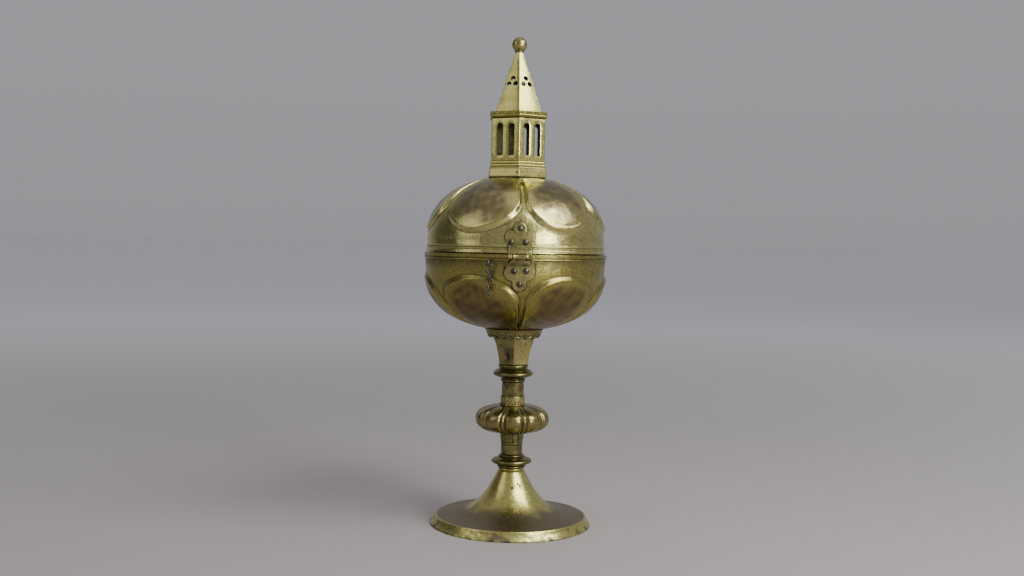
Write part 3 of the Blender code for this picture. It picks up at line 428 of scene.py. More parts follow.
def makeRings():
    lower = [(0, 42.2), (6.2, 42.2), (6.8, 42.2)] + bead(6.8, 42.15, 40.9, 0.75) + [(7.1, 40.8)]
    lower += curved(stem["lowerRingMm"], 4) + [(8.5, 36.1), (8.2, 35.9)]
    lower += bead(8.0, 35.8, 34.6, 0.6) + [(6, 34.5), (0, 34.5)]
    upper = [(0, 96.6), (7.9, 96.6)] + bead(8.4, 96.55, 94.9, 0.75) + [(8.3, 94.75)]
    upper += curved(stem["upperRingMm"], 4) + [(7.7, 88.4), (7.2, 88.1), (7.0, 87.6)]
    upper += bead(6.9, 87.5, 86.4, 0.6) + [(5.5, 86.3), (0, 86.3)]
    for name, profile, node, seed in (("lowerRing", lower, "lower_stem_ring", 11),
                                      ("upperRing", upper, "upper_stem_ring", 12)):
        grid = turnedGrid(profile, stem["columns"])
        radius = fromAxis(grid)[0]
        grid[..., 2] += 0.05 * wobble(grid, 12, seed) * smooth(8, 10, radius)
        setRadius(grid, radius * (1 + 0.004 * wobble(grid, 9, seed + 1)))
        # The parts near the tube and the grooves are painted dark as shade
        grime = 0.12 * (1 - smooth(7.0, 8.6, radius))
        for groove in (94.7, 88.2, 40.8, 36.0):
            grime += 0.40 * hump(grid[..., 2] - groove, 0.28)
        worn = 0.6 * smooth(-0.2, 0.8, wobble(grid, 9, seed + 2))
        obj = surface(name, grid, worn=worn, grime=grime)
        place(obj, stemGilt, "base", "gilt_copper", node)


def makeTubes():
    for name, node, seed in (("lowerTube", "lower_stem_tube", 31), ("upperTube", "upper_stem_tube", 32)):
        radius, bottom, top = stem[name]
        profile = [(0, top), (radius - 0.8, top), (radius - 0.2, top)]
        profile += straight([(radius - 0.03, top - 0.15), (radius - 0.05, bottom + 0.15)], 24)
        profile += [(radius - 0.2, bottom), (radius - 0.8, bottom), (0, bottom)]
        grid = turnedGrid(profile, stem["columns"])
        size = fromAxis(grid)[0]
        setRadius(grid, size * (1 + 0.006 * wobble(grid, 7, seed)))
        worn = 0.9 * smooth(-0.4, 0.6, wobble(grid, 6, seed + 3))
        grime = 0.35 * smooth(0.3, 1.0, wobble(grid, 4, seed + 5))
        obj = surface(name, grid, worn=worn, grime=grime)
        place(obj, stemGilt, "base", "gilt_copper", node)


def makeCollars():
    # Sleeves with a row of square panels, cut down round a four-lobed flower in every other one
    for name, node, seed in (("lowerCollar", "lower_collar", 41), ("upperCollar", "upper_collar", 42)):
        above, below, bottom, top = stem[name]
        profile = [(0, top), (above - 0.7, top), (above, top)]
        profile += straight([(above, top - 0.05), (below, bottom + 0.05)], 56)
        profile += [(below, bottom), (below - 0.7, bottom), (0, bottom)]
        grid = turnedGrid(profile, 480)
        radius, azimuth = fromAxis(grid)
        level = grid[..., 2]
        outer = smooth(below - 0.5, below - 0.2, radius)
        panel = azimuth / fullTurn * stem["panels"]
        number = np.floor(panel)
        across = (panel - number - 0.5) * fullTurn * above / stem["panels"]
        low, high = bottom + 1.15, top - 0.75
        up = level - (low + high) / 2
        half = (high - low) / 2
        inFrame = ((np.abs(up) < half) & (np.abs(across) < half * 0.98)).astype(float)
        groove = hump(np.abs(up) - half, 0.16)
        groove = groove + hump(np.abs(across) - 2.1, 0.16) * inFrame
        angle = np.arctan2(up, across)
        reach = np.hypot(up, across)
        petals = 1.25 + 0.45 * np.cos(4 * angle)
        flower = 1 - smooth(petals - 0.16, petals + 0.16, reach)
        heart = 1 - smooth(0.35, 0.55, reach)
        every = number % 2
        cut = inFrame * np.where(every == 0, (1 - flower), flower * (1 - heart))
        lips = hump(level - (top - 0.3), 0.28)
        depth = 0.18 * groove + 0.14 * cut - 0.16 * lips
        setRadius(grid, radius - depth * outer + 0.02 * wobble(grid, 3, seed) * outer)
        grime = outer * (0.30 * np.clip(groove, 0, 1) + 0.24 * cut)
        worn = 0.4 * smooth(0, 0.8, wobble(grid, 5, seed + 1))
        obj = surface(name + "Engraved", grid, sharp=60, worn=worn, grime=grime)
        place(obj, neckGilt if name == "upperCollar" else stemGilt, "base", "gilt_copper", node)


makeRings()
makeTubes()
makeCollars()
print("stem made")


# Things that repeat are made in geometry trees
def newTree(name, sizes):
    # A tree with named number inputs, and its group input
    tree = bpy.data.node_groups.new(name, "GeometryNodeTree")
    tree.interface.new_socket("Geometry", in_out="INPUT", socket_type="NodeSocketGeometry")
    for key, value in sizes.items():
        kind = "NodeSocketInt" if isinstance(value, int) else "NodeSocketFloat"
        socket = tree.interface.new_socket(key, in_out="INPUT", socket_type=kind)
        socket.default_value = value
    tree.interface.new_socket("Geometry", in_out="OUTPUT", socket_type="NodeSocketGeometry")
    return tree, addNode(tree, "NodeGroupInput")


def endTree(tree, instances, material):
    real = addNode(tree, "GeometryNodeRealizeInstances", {"Geometry": instances})
    smoothed = addNode(tree, "GeometryNodeSetShadeSmooth", {"Geometry": real})
    clad = addNode(tree, "GeometryNodeSetMaterial", {"Geometry": smoothed, "Material": material})
    addNode(tree, "NodeGroupOutput", {0: clad})


def grown(name, tree, sizes, points=(), vectors=None):
    # Runs a tree on loose points and keeps its result as a plain object
    mesh = bpy.data.meshes.new(name)
    mesh.from_pydata([tuple(p) for p in points], [], [])
    for key, values in (vectors or {}).items():
        layer = mesh.attributes.new(key, "FLOAT_VECTOR", "POINT")
        layer.data.foreach_set("vector", np.array(values, np.float32).reshape(-1))
    obj = newObject(name, mesh)
    modifier = obj.modifiers.new("Tree", "NODES")
    modifier.node_group = tree
    for item in tree.interface.items_tree:
        if item.in_out == "INPUT" and item.name in sizes:
            modifier[item.identifier] = sizes[item.name]
    return settled(obj, name)


# Knop: a superellipsoid with ten lobes, and a narrow rib in the groove between each two
knop = {"Radius": 22.5, "Half height": 8.9, "Middle": 63.75, "Fullness": 0.85, "Lobes": 10, "Flat": 7.75,
        "Collar radius": 7.7}


def knopTree():
    tree, given = newTree("Lobed knop", knop)
    ball = addNode(tree, "GeometryNodeMeshUVSphere", {"Segments": 480, "Rings": 120, "Radius": 1.0})
    spot = addNode(tree, "GeometryNodeInputPosition")
    parts = addNode(tree, "ShaderNodeSeparateXYZ", {0: spot}).outputs
    azimuth = addNode(tree, "ShaderNodeMath", {0: parts[0], 1: parts[1]}, operation="ARCTAN2")
    # Share of a lobe's half width, from 0 at its middle to 1 at the rib
    lobes = addNode(tree, "ShaderNodeMath", {0: azimuth, 1: given.outputs["Lobes"]}, operation="MULTIPLY")
    turnShare = addNode(tree, "ShaderNodeMath", {0: lobes, 1: fullTurn}, operation="DIVIDE")
    middle = addNode(tree, "ShaderNodeMath", {0: turnShare, 1: 0.5}, operation="ADD")
    share = addNode(tree, "ShaderNodeMath", {0: middle}, operation="FRACT")
    side = addNode(tree, "ShaderNodeMath", {0: share, 1: 0.5}, operation="SUBTRACT")
    across = addNode(tree, "ShaderNodeMath", {0: side}, operation="ABSOLUTE")
    across = addNode(tree, "ShaderNodeMath", {0: across, 1: 2.0}, operation="MULTIPLY")
    swell = addNode(tree, "ShaderNodeFloatCurve", {"Value": across})
    points = swell.mapping.curves[0].points
    points[0].location = (0.0, 1.0)
    points[1].location = (1.0, 0.93)
    for x, y in ((0.3, 0.985), (0.55, 0.93), (0.72, 0.78), (0.80, 0.66), (0.86, 0.78), (0.92, 0.90)):
        points.new(x, y)
    swell.mapping.update()
    # The curve's 0.66 to 1 stands for 0.92 to 1 of the radius
    depth = addNode(tree, "ShaderNodeMapRange", {
        "Value": swell.outputs[0], "From Min": 0.5, "From Max": 1.0, "To Min": 0.885, "To Max": 1.0})
    flatReach = addNode(tree, "ShaderNodeCombineXYZ", {0: parts[0], 1: parts[1]})
    ring = addNode(tree, "ShaderNodeVectorMath", {0: flatReach}, operation="LENGTH").outputs["Value"]
    full = addNode(tree, "ShaderNodeMath", {0: ring, 1: given.outputs["Fullness"]}, operation="POWER")
    reach = addNode(tree, "ShaderNodeMath", {0: full, 1: given.outputs["Radius"]}, operation="MULTIPLY")
    reach = addNode(tree, "ShaderNodeMath", {0: reach, 1: depth}, operation="MULTIPLY")
    up = addNode(tree, "ShaderNodeMath", {0: parts[2]}, operation="ABSOLUTE")
    upFull = addNode(tree, "ShaderNodeMath", {0: up, 1: given.outputs["Fullness"]}, operation="POWER")
    height = addNode(tree, "ShaderNodeMath", {0: upFull, 1: given.outputs["Half height"]},
                     operation="MULTIPLY")
    # Near the collars the top is drawn down to their level
    limit = addNode(tree, "ShaderNodeMapRange", {
        "Value": reach, "From Min": given.outputs["Collar radius"], "From Max": 12.5,
        "To Min": given.outputs["Flat"], "To Max": given.outputs["Half height"]},
        interpolation_type="SMOOTHSTEP")
    height = addNode(tree, "ShaderNodeMath", {0: height, 1: limit}, operation="MINIMUM")
    sign = addNode(tree, "ShaderNodeMath", {0: parts[2]}, operation="SIGN")
    level = addNode(tree, "ShaderNodeMath", {0: height, 1: sign, 2: given.outputs["Middle"]},
                    operation="MULTIPLY_ADD")
    x = addNode(tree, "ShaderNodeMath", {0: azimuth}, operation="SINE")
    y = addNode(tree, "ShaderNodeMath", {0: azimuth}, operation="COSINE")
    x = addNode(tree, "ShaderNodeMath", {0: x, 1: reach}, operation="MULTIPLY")
    y = addNode(tree, "ShaderNodeMath", {0: y, 1: reach}, operation="MULTIPLY")
    spotNew = addNode(tree, "ShaderNodeCombineXYZ", {0: x, 1: y, 2: level})
    spotNew = addNode(tree, "ShaderNodeVectorMath", {0: spotNew, "Scale": mm}, operation="SCALE")
    shaped = addNode(tree, "GeometryNodeSetPosition", {"Geometry": ball, "Position": spotNew})
    # The grooves are painted dark as shade
    groove = addNode(tree, "ShaderNodeMapRange", {
        "Value": depth, "From Min": 0.955, "From Max": 0.92, "To Min": 0.0, "To Max": 0.50})
    shaped = addNode(tree, "GeometryNodeStoreNamedAttribute", {
        "Geometry": shaped, "Name": "grime", "Value": groove}, data_type="FLOAT", domain="POINT")
    endTree(tree, shaped, knopGilt)
    return tree


place(grown("knopLobes", knopTree(), knop), knopGilt, "base", "gilt_copper", "knop")


# Pearls: small balls in a ring
pearls = {"Count": 28, "Ring radius": 7.35, "Level": 72.35, "Pearl radius": 0.56}


def pearlTree():
    tree, given = newTree("Pearled edge", pearls)
    ring = addNode(tree, "GeometryNodeMeshCircle", {
        "Vertices": given.outputs["Count"], "Radius": given.outputs["Ring radius"]})
    lift = addNode(tree, "ShaderNodeCombineXYZ", {2: given.outputs["Level"]})
    ring = addNode(tree, "GeometryNodeTransform", {"Geometry": ring, "Translation": lift})
    pearl = addNode(tree, "GeometryNodeMeshIcoSphere", {
        "Radius": given.outputs["Pearl radius"], "Subdivisions": 2})
    size = addNode(tree, "FunctionNodeRandomValue", {2: 0.85, 3: 1.08, "Seed": 4}, data_type="FLOAT").outputs[1]
    strung = addNode(tree, "GeometryNodeInstanceOnPoints", {
        "Points": ring, "Instance": pearl, "Scale": size})
    small = addNode(tree, "GeometryNodeTransform", {"Geometry": strung, "Scale": (mm, mm, mm)})
    endTree(tree, small, stemGilt)
    return tree


place(grown("collarPearls", pearlTree(), pearls), stemGilt, "base", "gilt_copper")
print("knop and pearls made")


# Neck and its scalloped border
neck = {
    "columns": 288, "bottom": 96.9, "height": 21.1, "footR": 9.8, "topR": 16.6,
    "flare": 0.64, "flarePower": 2.2,
    "wall": 1.1, "scallops": 18, "band": 2.8, "drop": 2.3, "sheet": 0.7, "bulge": 0.30,
}


def neckRadius(share):
    flare = (1 - neck["flare"]) * share + neck["flare"] * share ** neck["flarePower"]
    return neck["footR"] + (neck["topR"] - neck["footR"]) * flare


def makeNeck():
    shares = np.linspace(1, 0, 64)
    outside = [(neckRadius(s), neck["bottom"] + neck["height"] * s) for s in shares]
    inside = [(r - neck["wall"] - 0.15, z) for r, z in outside[::-4]] + [(outside[0][0] - 1.3, outside[0][1])]
    grid = turnedGrid(outside + inside, neck["columns"])
    radius, azimuth = fromAxis(grid)
    share = (grid[..., 2] - neck["bottom"]) / neck["height"]
    side = fullTurn / 6
    off = np.abs((azimuth + side / 2) % side - side / 2)
    flat = math.cos(side / 2) / np.cos(side / 2 - off)
    hollow = 1 - 0.030 * np.sin(np.clip(off / side, 0, 1) * math.pi) ** 2
    scale = 1 + (flat * hollow - 1) * (1 - share ** 3)
    setRadius(grid, radius * scale * (1 - 0.004 * (1 + wobble(grid, 7, 51))))
    # Vertical graver's lines beside each corner, and dark stains low on the front left facet
    line = hump(off * radius - 0.9, 0.14) * (share < 0.8)
    fromFront = eitherSide(azimuth)
    stain = np.exp(-((fromFront + math.radians(24)) * 8 / 2.2) ** 2 - ((share - 0.28) / 0.24) ** 2)
    grime = 0.26 * line + 0.75 * stain * (0.7 + 0.5 * wobble(grid, 3, 52))
    scallop = 2 * ((azimuth / fullTurn * neck["scallops"]) % 1.0) - 1
    border = neck["bottom"] + neck["height"] - neck["band"] - neck["drop"] * np.sqrt(1 - scallop ** 2)
    # A painted shadow line on the neck under the edge of the scalloped border
    grime += 0.6 * hump(grid[..., 2] - border + 0.3, 0.5)
    worn = 0.75 * smooth(math.radians(1), math.radians(-3), fromFront) * smooth(-2.4, -1.6, fromFront)
    worn += 0.3 * smooth(0, 0.8, wobble(grid, 6, 53))
    obj = surface("neckTrumpet", grid, ring=True, sharp=25, worn=worn, grime=grime)
    place(obj, neckGilt, "base", "gilt_copper", "neck")


def makeScallops():
    # A cut border: each scallop is domed, edged with a fine line and punched once
    top = neck["bottom"] + neck["height"]
    columns = neck["scallops"] * 20
    azimuth = front + np.arange(columns) * fullTurn / columns
    x = 2 * (((azimuth - front) / fullTurn * neck["scallops"]) % 1.0) - 1
    hang = np.sqrt(np.maximum(0.0, 1 - x ** 2))
    length = neck["band"] + neck["drop"] * hang
    rows = 26
    down = np.linspace(0, 1, rows)[:, None]
    level = top - down * length[None, :]
    share = (level - neck["bottom"]) / neck["height"]
    base = neckRadius(share) + 0.3
    fall = (level - (top - neck["band"])) / neck["drop"]
    inScallop = smooth(0.5, -0.1, fall)
    toEdge = (1 - down) * length[None, :]
    rim = hump(toEdge - 0.35, 0.25)
    upper = hump(top - level - 0.5, 0.3) + hump(top - level - 2.2, 0.22)
    relief = neck["bulge"] * inScallop * hang[None, :] + 0.26 * rim + 0.14 * upper
    punch = np.exp(-((x[None, :] * 1.6) ** 2 + ((level - (top - 3.5)) / 0.55) ** 2) * 2.4)
    outerR = base + neck["sheet"] + relief * 0.9 - 0.35 * punch
    innerR = base
    grid = np.zeros((rows * 2, columns, 3))
    for start, radius, height in ((0, outerR, level), (rows, innerR[::-1], level[::-1])):
        grid[start:start + rows, :, 0] = radius * np.cos(azimuth)
        grid[start:start + rows, :, 1] = radius * np.sin(azimuth)
        grid[start:start + rows, :, 2] = height
    grime = np.zeros(grid.shape[:2])
    # The gaps between the scallops and their cut edges are painted dark as shade; the punches and a line below
    # the top are darkened
    between = hump(np.abs(x)[None, :] - 1, 0.14) * smooth(0.7, 0.0, fall)
    grime[:rows] = 0.75 * punch + 0.7 * between + 0.18 * hump(top - level - 1.35, 0.3)
    grime[:rows] += 0.6 * hump(toEdge, 0.18)
    obj = surface("scallopBorder", grid, ring=True, sharp=50, grime=grime)
    place(obj, stemGilt, "base", "gilt_copper", "scalloped_collar")


makeNeck()
makeScallops()
print("neck made")


# Bowl and lid: superellipses turned about Z, with six bosses raised out of each
vessel = {
    "columns": 432, "crowding": 0.6,
    "bowl": {"radius": 53.6, "height": 36.1, "power": 2.5, "side": -1, "tip": 5.3, "wide": 22.0, "rim": 1.0,
             "close": 63.0},
    "lid": {"radius": 52.9, "height": 37.8, "power": 2.35, "side": 1, "tip": 6.8, "wide": 27.0, "rim": 1.0,
            "close": 60.0},
    "bosses": 6, "halfWidth": 27.3, "upperHalfWidth": 28.9, "poleRise": 2.6, "shoulder": 0.15,
    "upperShoulder": 0.07, "crest": 0.20, "sheet": 1.2, "plateDirtAndShade": 0.9,
    "driftDegrees": 2.8, "seamRadius": 54.5,
}
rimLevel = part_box("bowl")[1].z / mm
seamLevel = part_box("lid")[0].z / mm
bowlLevel = rimLevel - 6.8
lidLevel = seamLevel + 5.0


def ringAzimuths():
    # Columns stand closer together in the valleys between the bosses, where the clasp and the hinge are too
    share = np.arange(vessel["columns"]) / vessel["columns"] * vessel["bosses"]
    return (share - vessel["crowding"] * np.sin(share * fullTurn) / fullTurn) * fullTurn / vessel["bosses"]


def bossAt(dome, azimuth, theta):
    # 0 outside a boss, rising over its shoulder, and the same without end; the valleys close near the pole
    sector = fullTurn / vessel["bosses"]
    drift = math.radians(vessel["driftDegrees"]) * hump(eitherSide(azimuth), math.radians(13))
    off = np.abs((azimuth - drift) % sector - sector / 2)
    upper = smooth(math.radians(13), math.radians(31), theta)
    closed = smooth(math.radians(dome["close"] - 2.5), math.radians(dome["close"] + 2.5), theta)
    halfWidth = vessel["halfWidth"] + (vessel["upperHalfWidth"] - vessel["halfWidth"]) * upper + 8 * closed
    across = off / np.radians(halfWidth)
    along = np.maximum(0.0, math.radians(dome["wide"]) - theta) / math.radians(dome["wide"] - dome["tip"])
    inside = 1 - np.hypot(across, along)
    shoulder = vessel["shoulder"] + (vessel["upperShoulder"] - vessel["shoulder"]) * upper
    return smooth(0, 1, inside / shoulder), inside, inside / shoulder, closed


def domeGrid(dome, level, thetas, inward):
    azimuth = np.broadcast_to(ringAzimuths(), (len(thetas), vessel["columns"]))
    theta = np.broadcast_to(np.array(thetas)[:, None], azimuth.shape)
    power = dome["power"]
    reach = ((np.cos(theta) / dome["radius"]) ** power
             + (np.sin(theta) / dome["height"]) ** power) ** (-1 / power)
    radius, height = reach * np.cos(theta), reach * np.sin(theta)
    slopeR = (np.maximum(radius, 0) / dome["radius"]) ** (power - 1) / dome["radius"]
    slopeZ = (np.maximum(height, 0) / dome["height"]) ** (power - 1) / dome["height"]
    length = np.hypot(slopeR, slopeZ)
    slopeR, slopeZ = slopeR / length, slopeZ / length
    rise, inside, climb, closed = bossAt(dome, azimuth, theta)
    full = dome["rim"] + (vessel["poleRise"] - dome["rim"]) * np.minimum(1, theta / math.radians(60))
    crest = vessel["crest"] * hump(climb - 1.1, 0.3) * (1 - closed)
    lift = rise * full + crest - inward
    radius, height = radius + lift * slopeR, height + lift * slopeZ
    grid = np.stack([radius * np.cos(azimuth + front), radius * np.sin(azimuth + front),
                     level + dome["side"] * height], -1)
    return grid, inside, climb, closed, theta


def makeShell(name, node, body, dome, level, mouldings, grooves, material, seed):
    thetas = np.concatenate([np.linspace(math.radians(3.2), math.radians(34), 86),
                             np.linspace(math.radians(34.6), math.radians(90), 74)])
    outer, inside, climb, closed, theta = domeGrid(dome, level, thetas, 0)
    inner = domeGrid(dome, level, thetas[::5][::-1], vessel["sheet"])[0]
    inner[0] = inner[0].mean(0)
    bands = turnedGrid(mouldings, ringAzimuths())
    # Hammer dents: shallow and broad, so that the long highlights waver
    normalLift = 0.05 * wobble(outer, 15, seed) + 0.02 * wobble(outer, 5, seed + 1)
    radius = fromAxis(outer)[0]
    fade = smooth(math.radians(4), math.radians(9), theta)
    setRadius(outer, radius - (0.07 - normalLift) * fade * np.cos(theta))
    outer[..., 2] -= dome["side"] * (0.07 - normalLift) * fade * np.sin(theta)
    under = turnedGrid([(mouldings[0][0] - vessel["sheet"], mouldings[0][1])], ringAzimuths())
    grid = np.concatenate([inner, under, bands, outer])
    shape = grid.shape[:2]
    start = len(inner) + 1 + len(bands)
    worn, grime = np.zeros(shape), np.zeros(shape)
    # The middles of the bosses are rubbed through, and the foot of each shoulder is painted dark as shade
    centre = smooth(0.12, 0.50, inside + 0.08 * wobble(outer, 14, seed + 2))
    worn[start:] = centre * (0.8 + 0.25 * wobble(outer, 6, seed + 3))
    upper = smooth(math.radians(20), math.radians(40), theta)
    grime[start:] = (0.46 - 0.1 * upper) * hump(climb + 0.05, 0.22 + 0.2 * upper) * (1 - closed)
    # The grooves of the bands are painted dark as shade
    for groove in grooves:
        grime[len(inner):start + 2] += 0.55 * hump(grid[len(inner):start + 2, :, 2] - groove, 0.22)
    # A painted shadow line follows the plates of the clasp and the hinge
    off = (ringAzimuths() + math.pi / 2) % math.pi - math.pi / 2
    gap = outlineGap(np.broadcast_to(off * vessel["seamRadius"], shape), grid[..., 2], trefoil(body == "lid"))
    grime += vessel["plateDirtAndShade"] * hump(gap, 0.5)
    # The inside is painted darker as shade
    grime[:len(inner)] = 0.30
    obj = surface(name, grid, sharp=55, worn=worn, grime=grime)
    place(obj, material, body, "gilt_copper", node)


def makeBowlAndLid():
    bowlBands = ([(54.2, rimLevel), (54.5, rimLevel - 0.25)]
                 + straight([(54.5, rimLevel - 0.3), (54.45, rimLevel - 2.0)], 4)
                 + [(54.1, rimLevel - 2.15), (54.05, rimLevel - 2.35)]
                 + bead(54.0, rimLevel - 2.4, rimLevel - 3.5, 0.45)
                 + [(53.85, rimLevel - 3.6), (53.85, rimLevel - 3.85)])
    makeShell("bowlShell", "bowl", "base", vessel["bowl"], bowlLevel, bowlBands,
              (rimLevel - 2.25, rimLevel - 3.75), bowlGilt, 61)
    lidBands = ([(53.4, seamLevel), (53.7, seamLevel + 0.2)]
                + straight([(53.7, seamLevel + 0.3), (53.3, seamLevel + 1.9)], 4)
                + [(53.0, seamLevel + 2.1), (53.0, seamLevel + 2.5)]
                + bead(53.0, seamLevel + 2.6, seamLevel + 3.2, 0.35, 6)
                + [(52.95, seamLevel + 3.35)]
                + bead(53.0, seamLevel + 3.45, seamLevel + 4.3, 0.4, 6)
                + [(52.9, seamLevel + 4.5)])
    makeShell("lidShell", "lid", "lid", vessel["lid"], lidLevel, lidBands,
              (seamLevel + 2.3, seamLevel + 3.35), lidGilt, 71)


# Tower
tower = {
    "perSide": [0.0, 0.012, 0.03, 0.07, 0.12, 0.25, 0.38, 0.5, 0.62, 0.75, 0.88, 0.93, 0.97, 0.988],
    "plinthR": 19.9, "plinthTopR": 19.0, "plinthH": 5.6, "mouldR": 18.7, "mouldH": 3.4,
    "arcadeR": 18.1, "wall": 1.0, "lancetW": 4.0, "sill": 3.0, "lancetH": 19.2, "lancetOff": 3.8,
    "blindSide": 3, "corniceR": 19.3, "spireR": 15.4, "spireTopR": 2.6, "spireH": 37.2, "spireWall": 0.7,
    "spireMm": [(7.3, 24.5), (11.9, 10.7), (14.1, 5.3)],  # radius and height above its foot
    "holeR": 1.6, "holeRise": 17.9, "holeStep": 3.3, "holeSpread": 2.1, "seamMm": 0.75,
    "sideShare": 0.866,  # a side stands at this share of its corner's radius
    "spireSoften": 0.14, "spireBow": 0.034, "corniceHoles": (-5.6, 0, 5.6), "corniceHoleR": 0.55,
}


def hexGrid(profile, soften=0.10, bow=0.0):
    # Profile radii are to a corner; the corners are drawn in a hair so that they catch the light.
    # A bow swells each side outward by that share of the radius.
    profile = np.array(profile, float)
    angles, factor = [], []
    for side in range(6):
        for share in tower["perSide"]:
            corner = Vector((1, 0)).lerp(Vector((0.5, math.sqrt(0.75))), share)
            angles.append(math.atan2(corner.y, corner.x) + side * fullTurn / 6)
            factor.append(corner.length + bow * 4 * share * (1 - share))
    azimuth = front + np.array(angles)
    factor = np.array(factor)
    near = np.array([share < 0.006 for share in tower["perSide"]] * 6, float)
    grid = np.zeros((len(profile), len(azimuth), 3))
    radius = profile[:, :1] * factor - soften * near
    grid[..., 0] = radius * np.cos(azimuth)
    grid[..., 1] = radius * np.sin(azimuth)
    grid[..., 2] = profile[:, 1:]
    return grid


def pierce(obj, cutters, bevel=0.0):
    for cutter in cutters:
        modifier = obj.modifiers.new("Cut", "BOOLEAN")
        modifier.operation = "DIFFERENCE"
        modifier.object = cutter
    if bevel:
        rounded = obj.modifiers.new("Filed edges", "BEVEL")
        rounded.width = bevel * mm
        rounded.segments = 2
        rounded.limit_method = "ANGLE"
        rounded.angle_limit = math.radians(50)
        rounded.use_clamp_overlap = True
    name = obj.name
    result = settled(obj, name)
    for cutter in cutters:
        bpy.data.objects.remove(cutter, do_unlink=True)
    result.data.shade_smooth()
    result.data.set_sharp_from_angle(angle=math.radians(28))
    return result


def rodAt(radius, length, matrix, sides=24):
    bm = bmesh.new()
    bmesh.ops.create_cone(bm, cap_ends=True, segments=sides, radius1=radius * mm, radius2=radius * mm,
                          depth=length * mm, matrix=matrix)
    return meshObject("cutter", bm)


def barFrom(outline, depth, matrix):
    # A bar with that outline in X and Z, in mm, and that depth along Y
    bm = bmesh.new()
    near = [bm.verts.new((x * mm, -depth / 2 * mm, z * mm)) for x, z in outline]
    face = bm.faces.new(near)
    far = bmesh.ops.extrude_face_region(bm, geom=[face])["geom"]
    bmesh.ops.translate(bm, verts=[v for v in far if isinstance(v, bmesh.types.BMVert)], vec=(0, depth * mm, 0))
    bmesh.ops.recalc_face_normals(bm, faces=bm.faces[:])
    bm.transform(matrix)
    return meshObject("cutter", bm)


def sideReach(spots):
    # Distance of points from the axis, square to the nearest side of the tower
    ways = np.radians(np.arange(0, 360, 60))
    return np.max(np.stack([spots[:, 0] * math.cos(a) + spots[:, 1] * math.sin(a) for a in ways]), 0)


def sideTurn(side):
    # Turns a cutter that stands at the front to face a side of the tower
    return Matrix.Rotation(math.radians(30 + 60 * side), 4, "Z")


def spireCorner(rise):
    # Radius to a corner of the spire, at a height above its foot
    return tower["spireR"] + (tower["spireTopR"] - tower["spireR"]) * rise / tower["spireH"]


def seamDirt(spots):
    # The soldered seam of the tower runs down its front corner and holds dirt
    return 0.5 * hump(spots[:, 0] + tower["seamMm"], 0.4) * (spots[:, 1] < 0)


def makePlinth():
    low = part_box("tower_plinth")[0].z / mm
    top = low + tower["plinthH"]
    mould = tower["mouldR"]
    mouldTop = top + tower["mouldH"]
    profile = straight([(tower["arcadeR"] - 1.2, mouldTop), (mould - 0.25, mouldTop)], 2)
    profile += bead(mould - 0.3, top + 3.35, top + 2.0, 0.3, 6) + [(mould - 0.55, top + 1.85)]
    profile += bead(mould - 0.3, top + 1.7, top + 0.45, 0.3, 6) + [(mould - 0.6, top + 0.3), (mould - 0.5, top)]
    profile += [(tower["plinthTopR"] - 0.15, top - 0.02), (tower["plinthTopR"], top - 0.2)]
    profile += straight([(tower["plinthTopR"] + 0.05, top - 0.4), (tower["plinthR"] - 0.05, low + 0.15)], 8)
    profile += [(tower["plinthR"] - 0.1, low), (tower["plinthR"] - 1.1, low)]
    profile += straight([(tower["plinthR"] - 1.15, low + 0.1), (tower["arcadeR"] - 1.2, top)], 3)
    grid = hexGrid(profile)
    level = grid[..., 2]
    setRadius(grid, fromAxis(grid)[0] * (1 - 0.004 * (1 + wobble(grid, 8, 81))))
    # The grooves between the beads, the foot on the lid and the inside are painted dark as shade
    grime = 0.34 * hump(level - top - 1.85, 0.28)
    grime += 0.34 * hump(level - top - 0.25, 0.3)
    grime += 0.22 * hump(level - low, 0.35)
    grime[-4:] = 0.5
    dent = np.exp(-(((grid[..., 0] + 0.6) / 0.8) ** 2 + ((level - low - 2.4) / 0.9) ** 2))
    grime += 0.7 * dent * (grid[..., 1] < 0)
    worn = 0.9 * hump(level - top + 0.5, 0.6) + 0.25 * smooth(0, 1, wobble(grid, 6, 82))
    obj = surface("plinth", grid, ring=True, sharp=28, worn=worn, grime=grime)
    place(obj, towerGilt, "lid", "gilt_copper", "tower_plinth")


def makeArcade():
    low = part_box("tower_arcade")[0].z / mm
    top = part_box("tower_arcade")[1].z / mm
    wall = tower["wall"] / math.cos(math.pi / 6)
    outer = straight([(tower["arcadeR"], top), (tower["arcadeR"], low)], 6)
    inner = straight([(tower["arcadeR"] - wall, low), (tower["arcadeR"] - wall, top)], 6)
    obj = surface("arcade", hexGrid(outer + inner), ring=True, sharp=28)
    half = tower["lancetW"] / 2
    sill = low + tower["sill"]
    spring = sill + tower["lancetH"] - half
    outline = [(half, sill)] + [(half * math.cos(math.radians(a)), spring + half * math.sin(math.radians(a)))
                                for a in range(0, 181, 15)] + [(-half, sill)]
    cutters = []
    for side in range(6):
        if side == tower["blindSide"]:
            continue
        for off in (-tower["lancetOff"], tower["lancetOff"]):
            spot = Matrix.Translation((off * mm, -tower["arcadeR"] * mm, 0))
            cutters.append(barFrom(outline, tower["arcadeR"], sideTurn(side) @ spot))
    obj = pierce(obj, cutters, 0.22)
    spots = spotsOf(obj)
    skin = tower["arcadeR"] * tower["sideShare"]
    # The inside walls and the lancets' reveals are painted dark as shade, beside uneven darkening low down and
    # the seam's dirt
    inside = 1 - smooth(skin - 0.85, skin - 0.35, sideReach(spots))
    lowEnd = hump(spots[:, 2] - low - 2.6, 1.1)
    dirtAndShade = 0.55 * inside + 0.22 * lowEnd * (0.4 + wobble(spots, 3, 84)) + seamDirt(spots)
    paint(obj, "grime", dirtAndShade)
    place(obj, towerGilt, "lid", "gilt_copper", "tower_arcade")


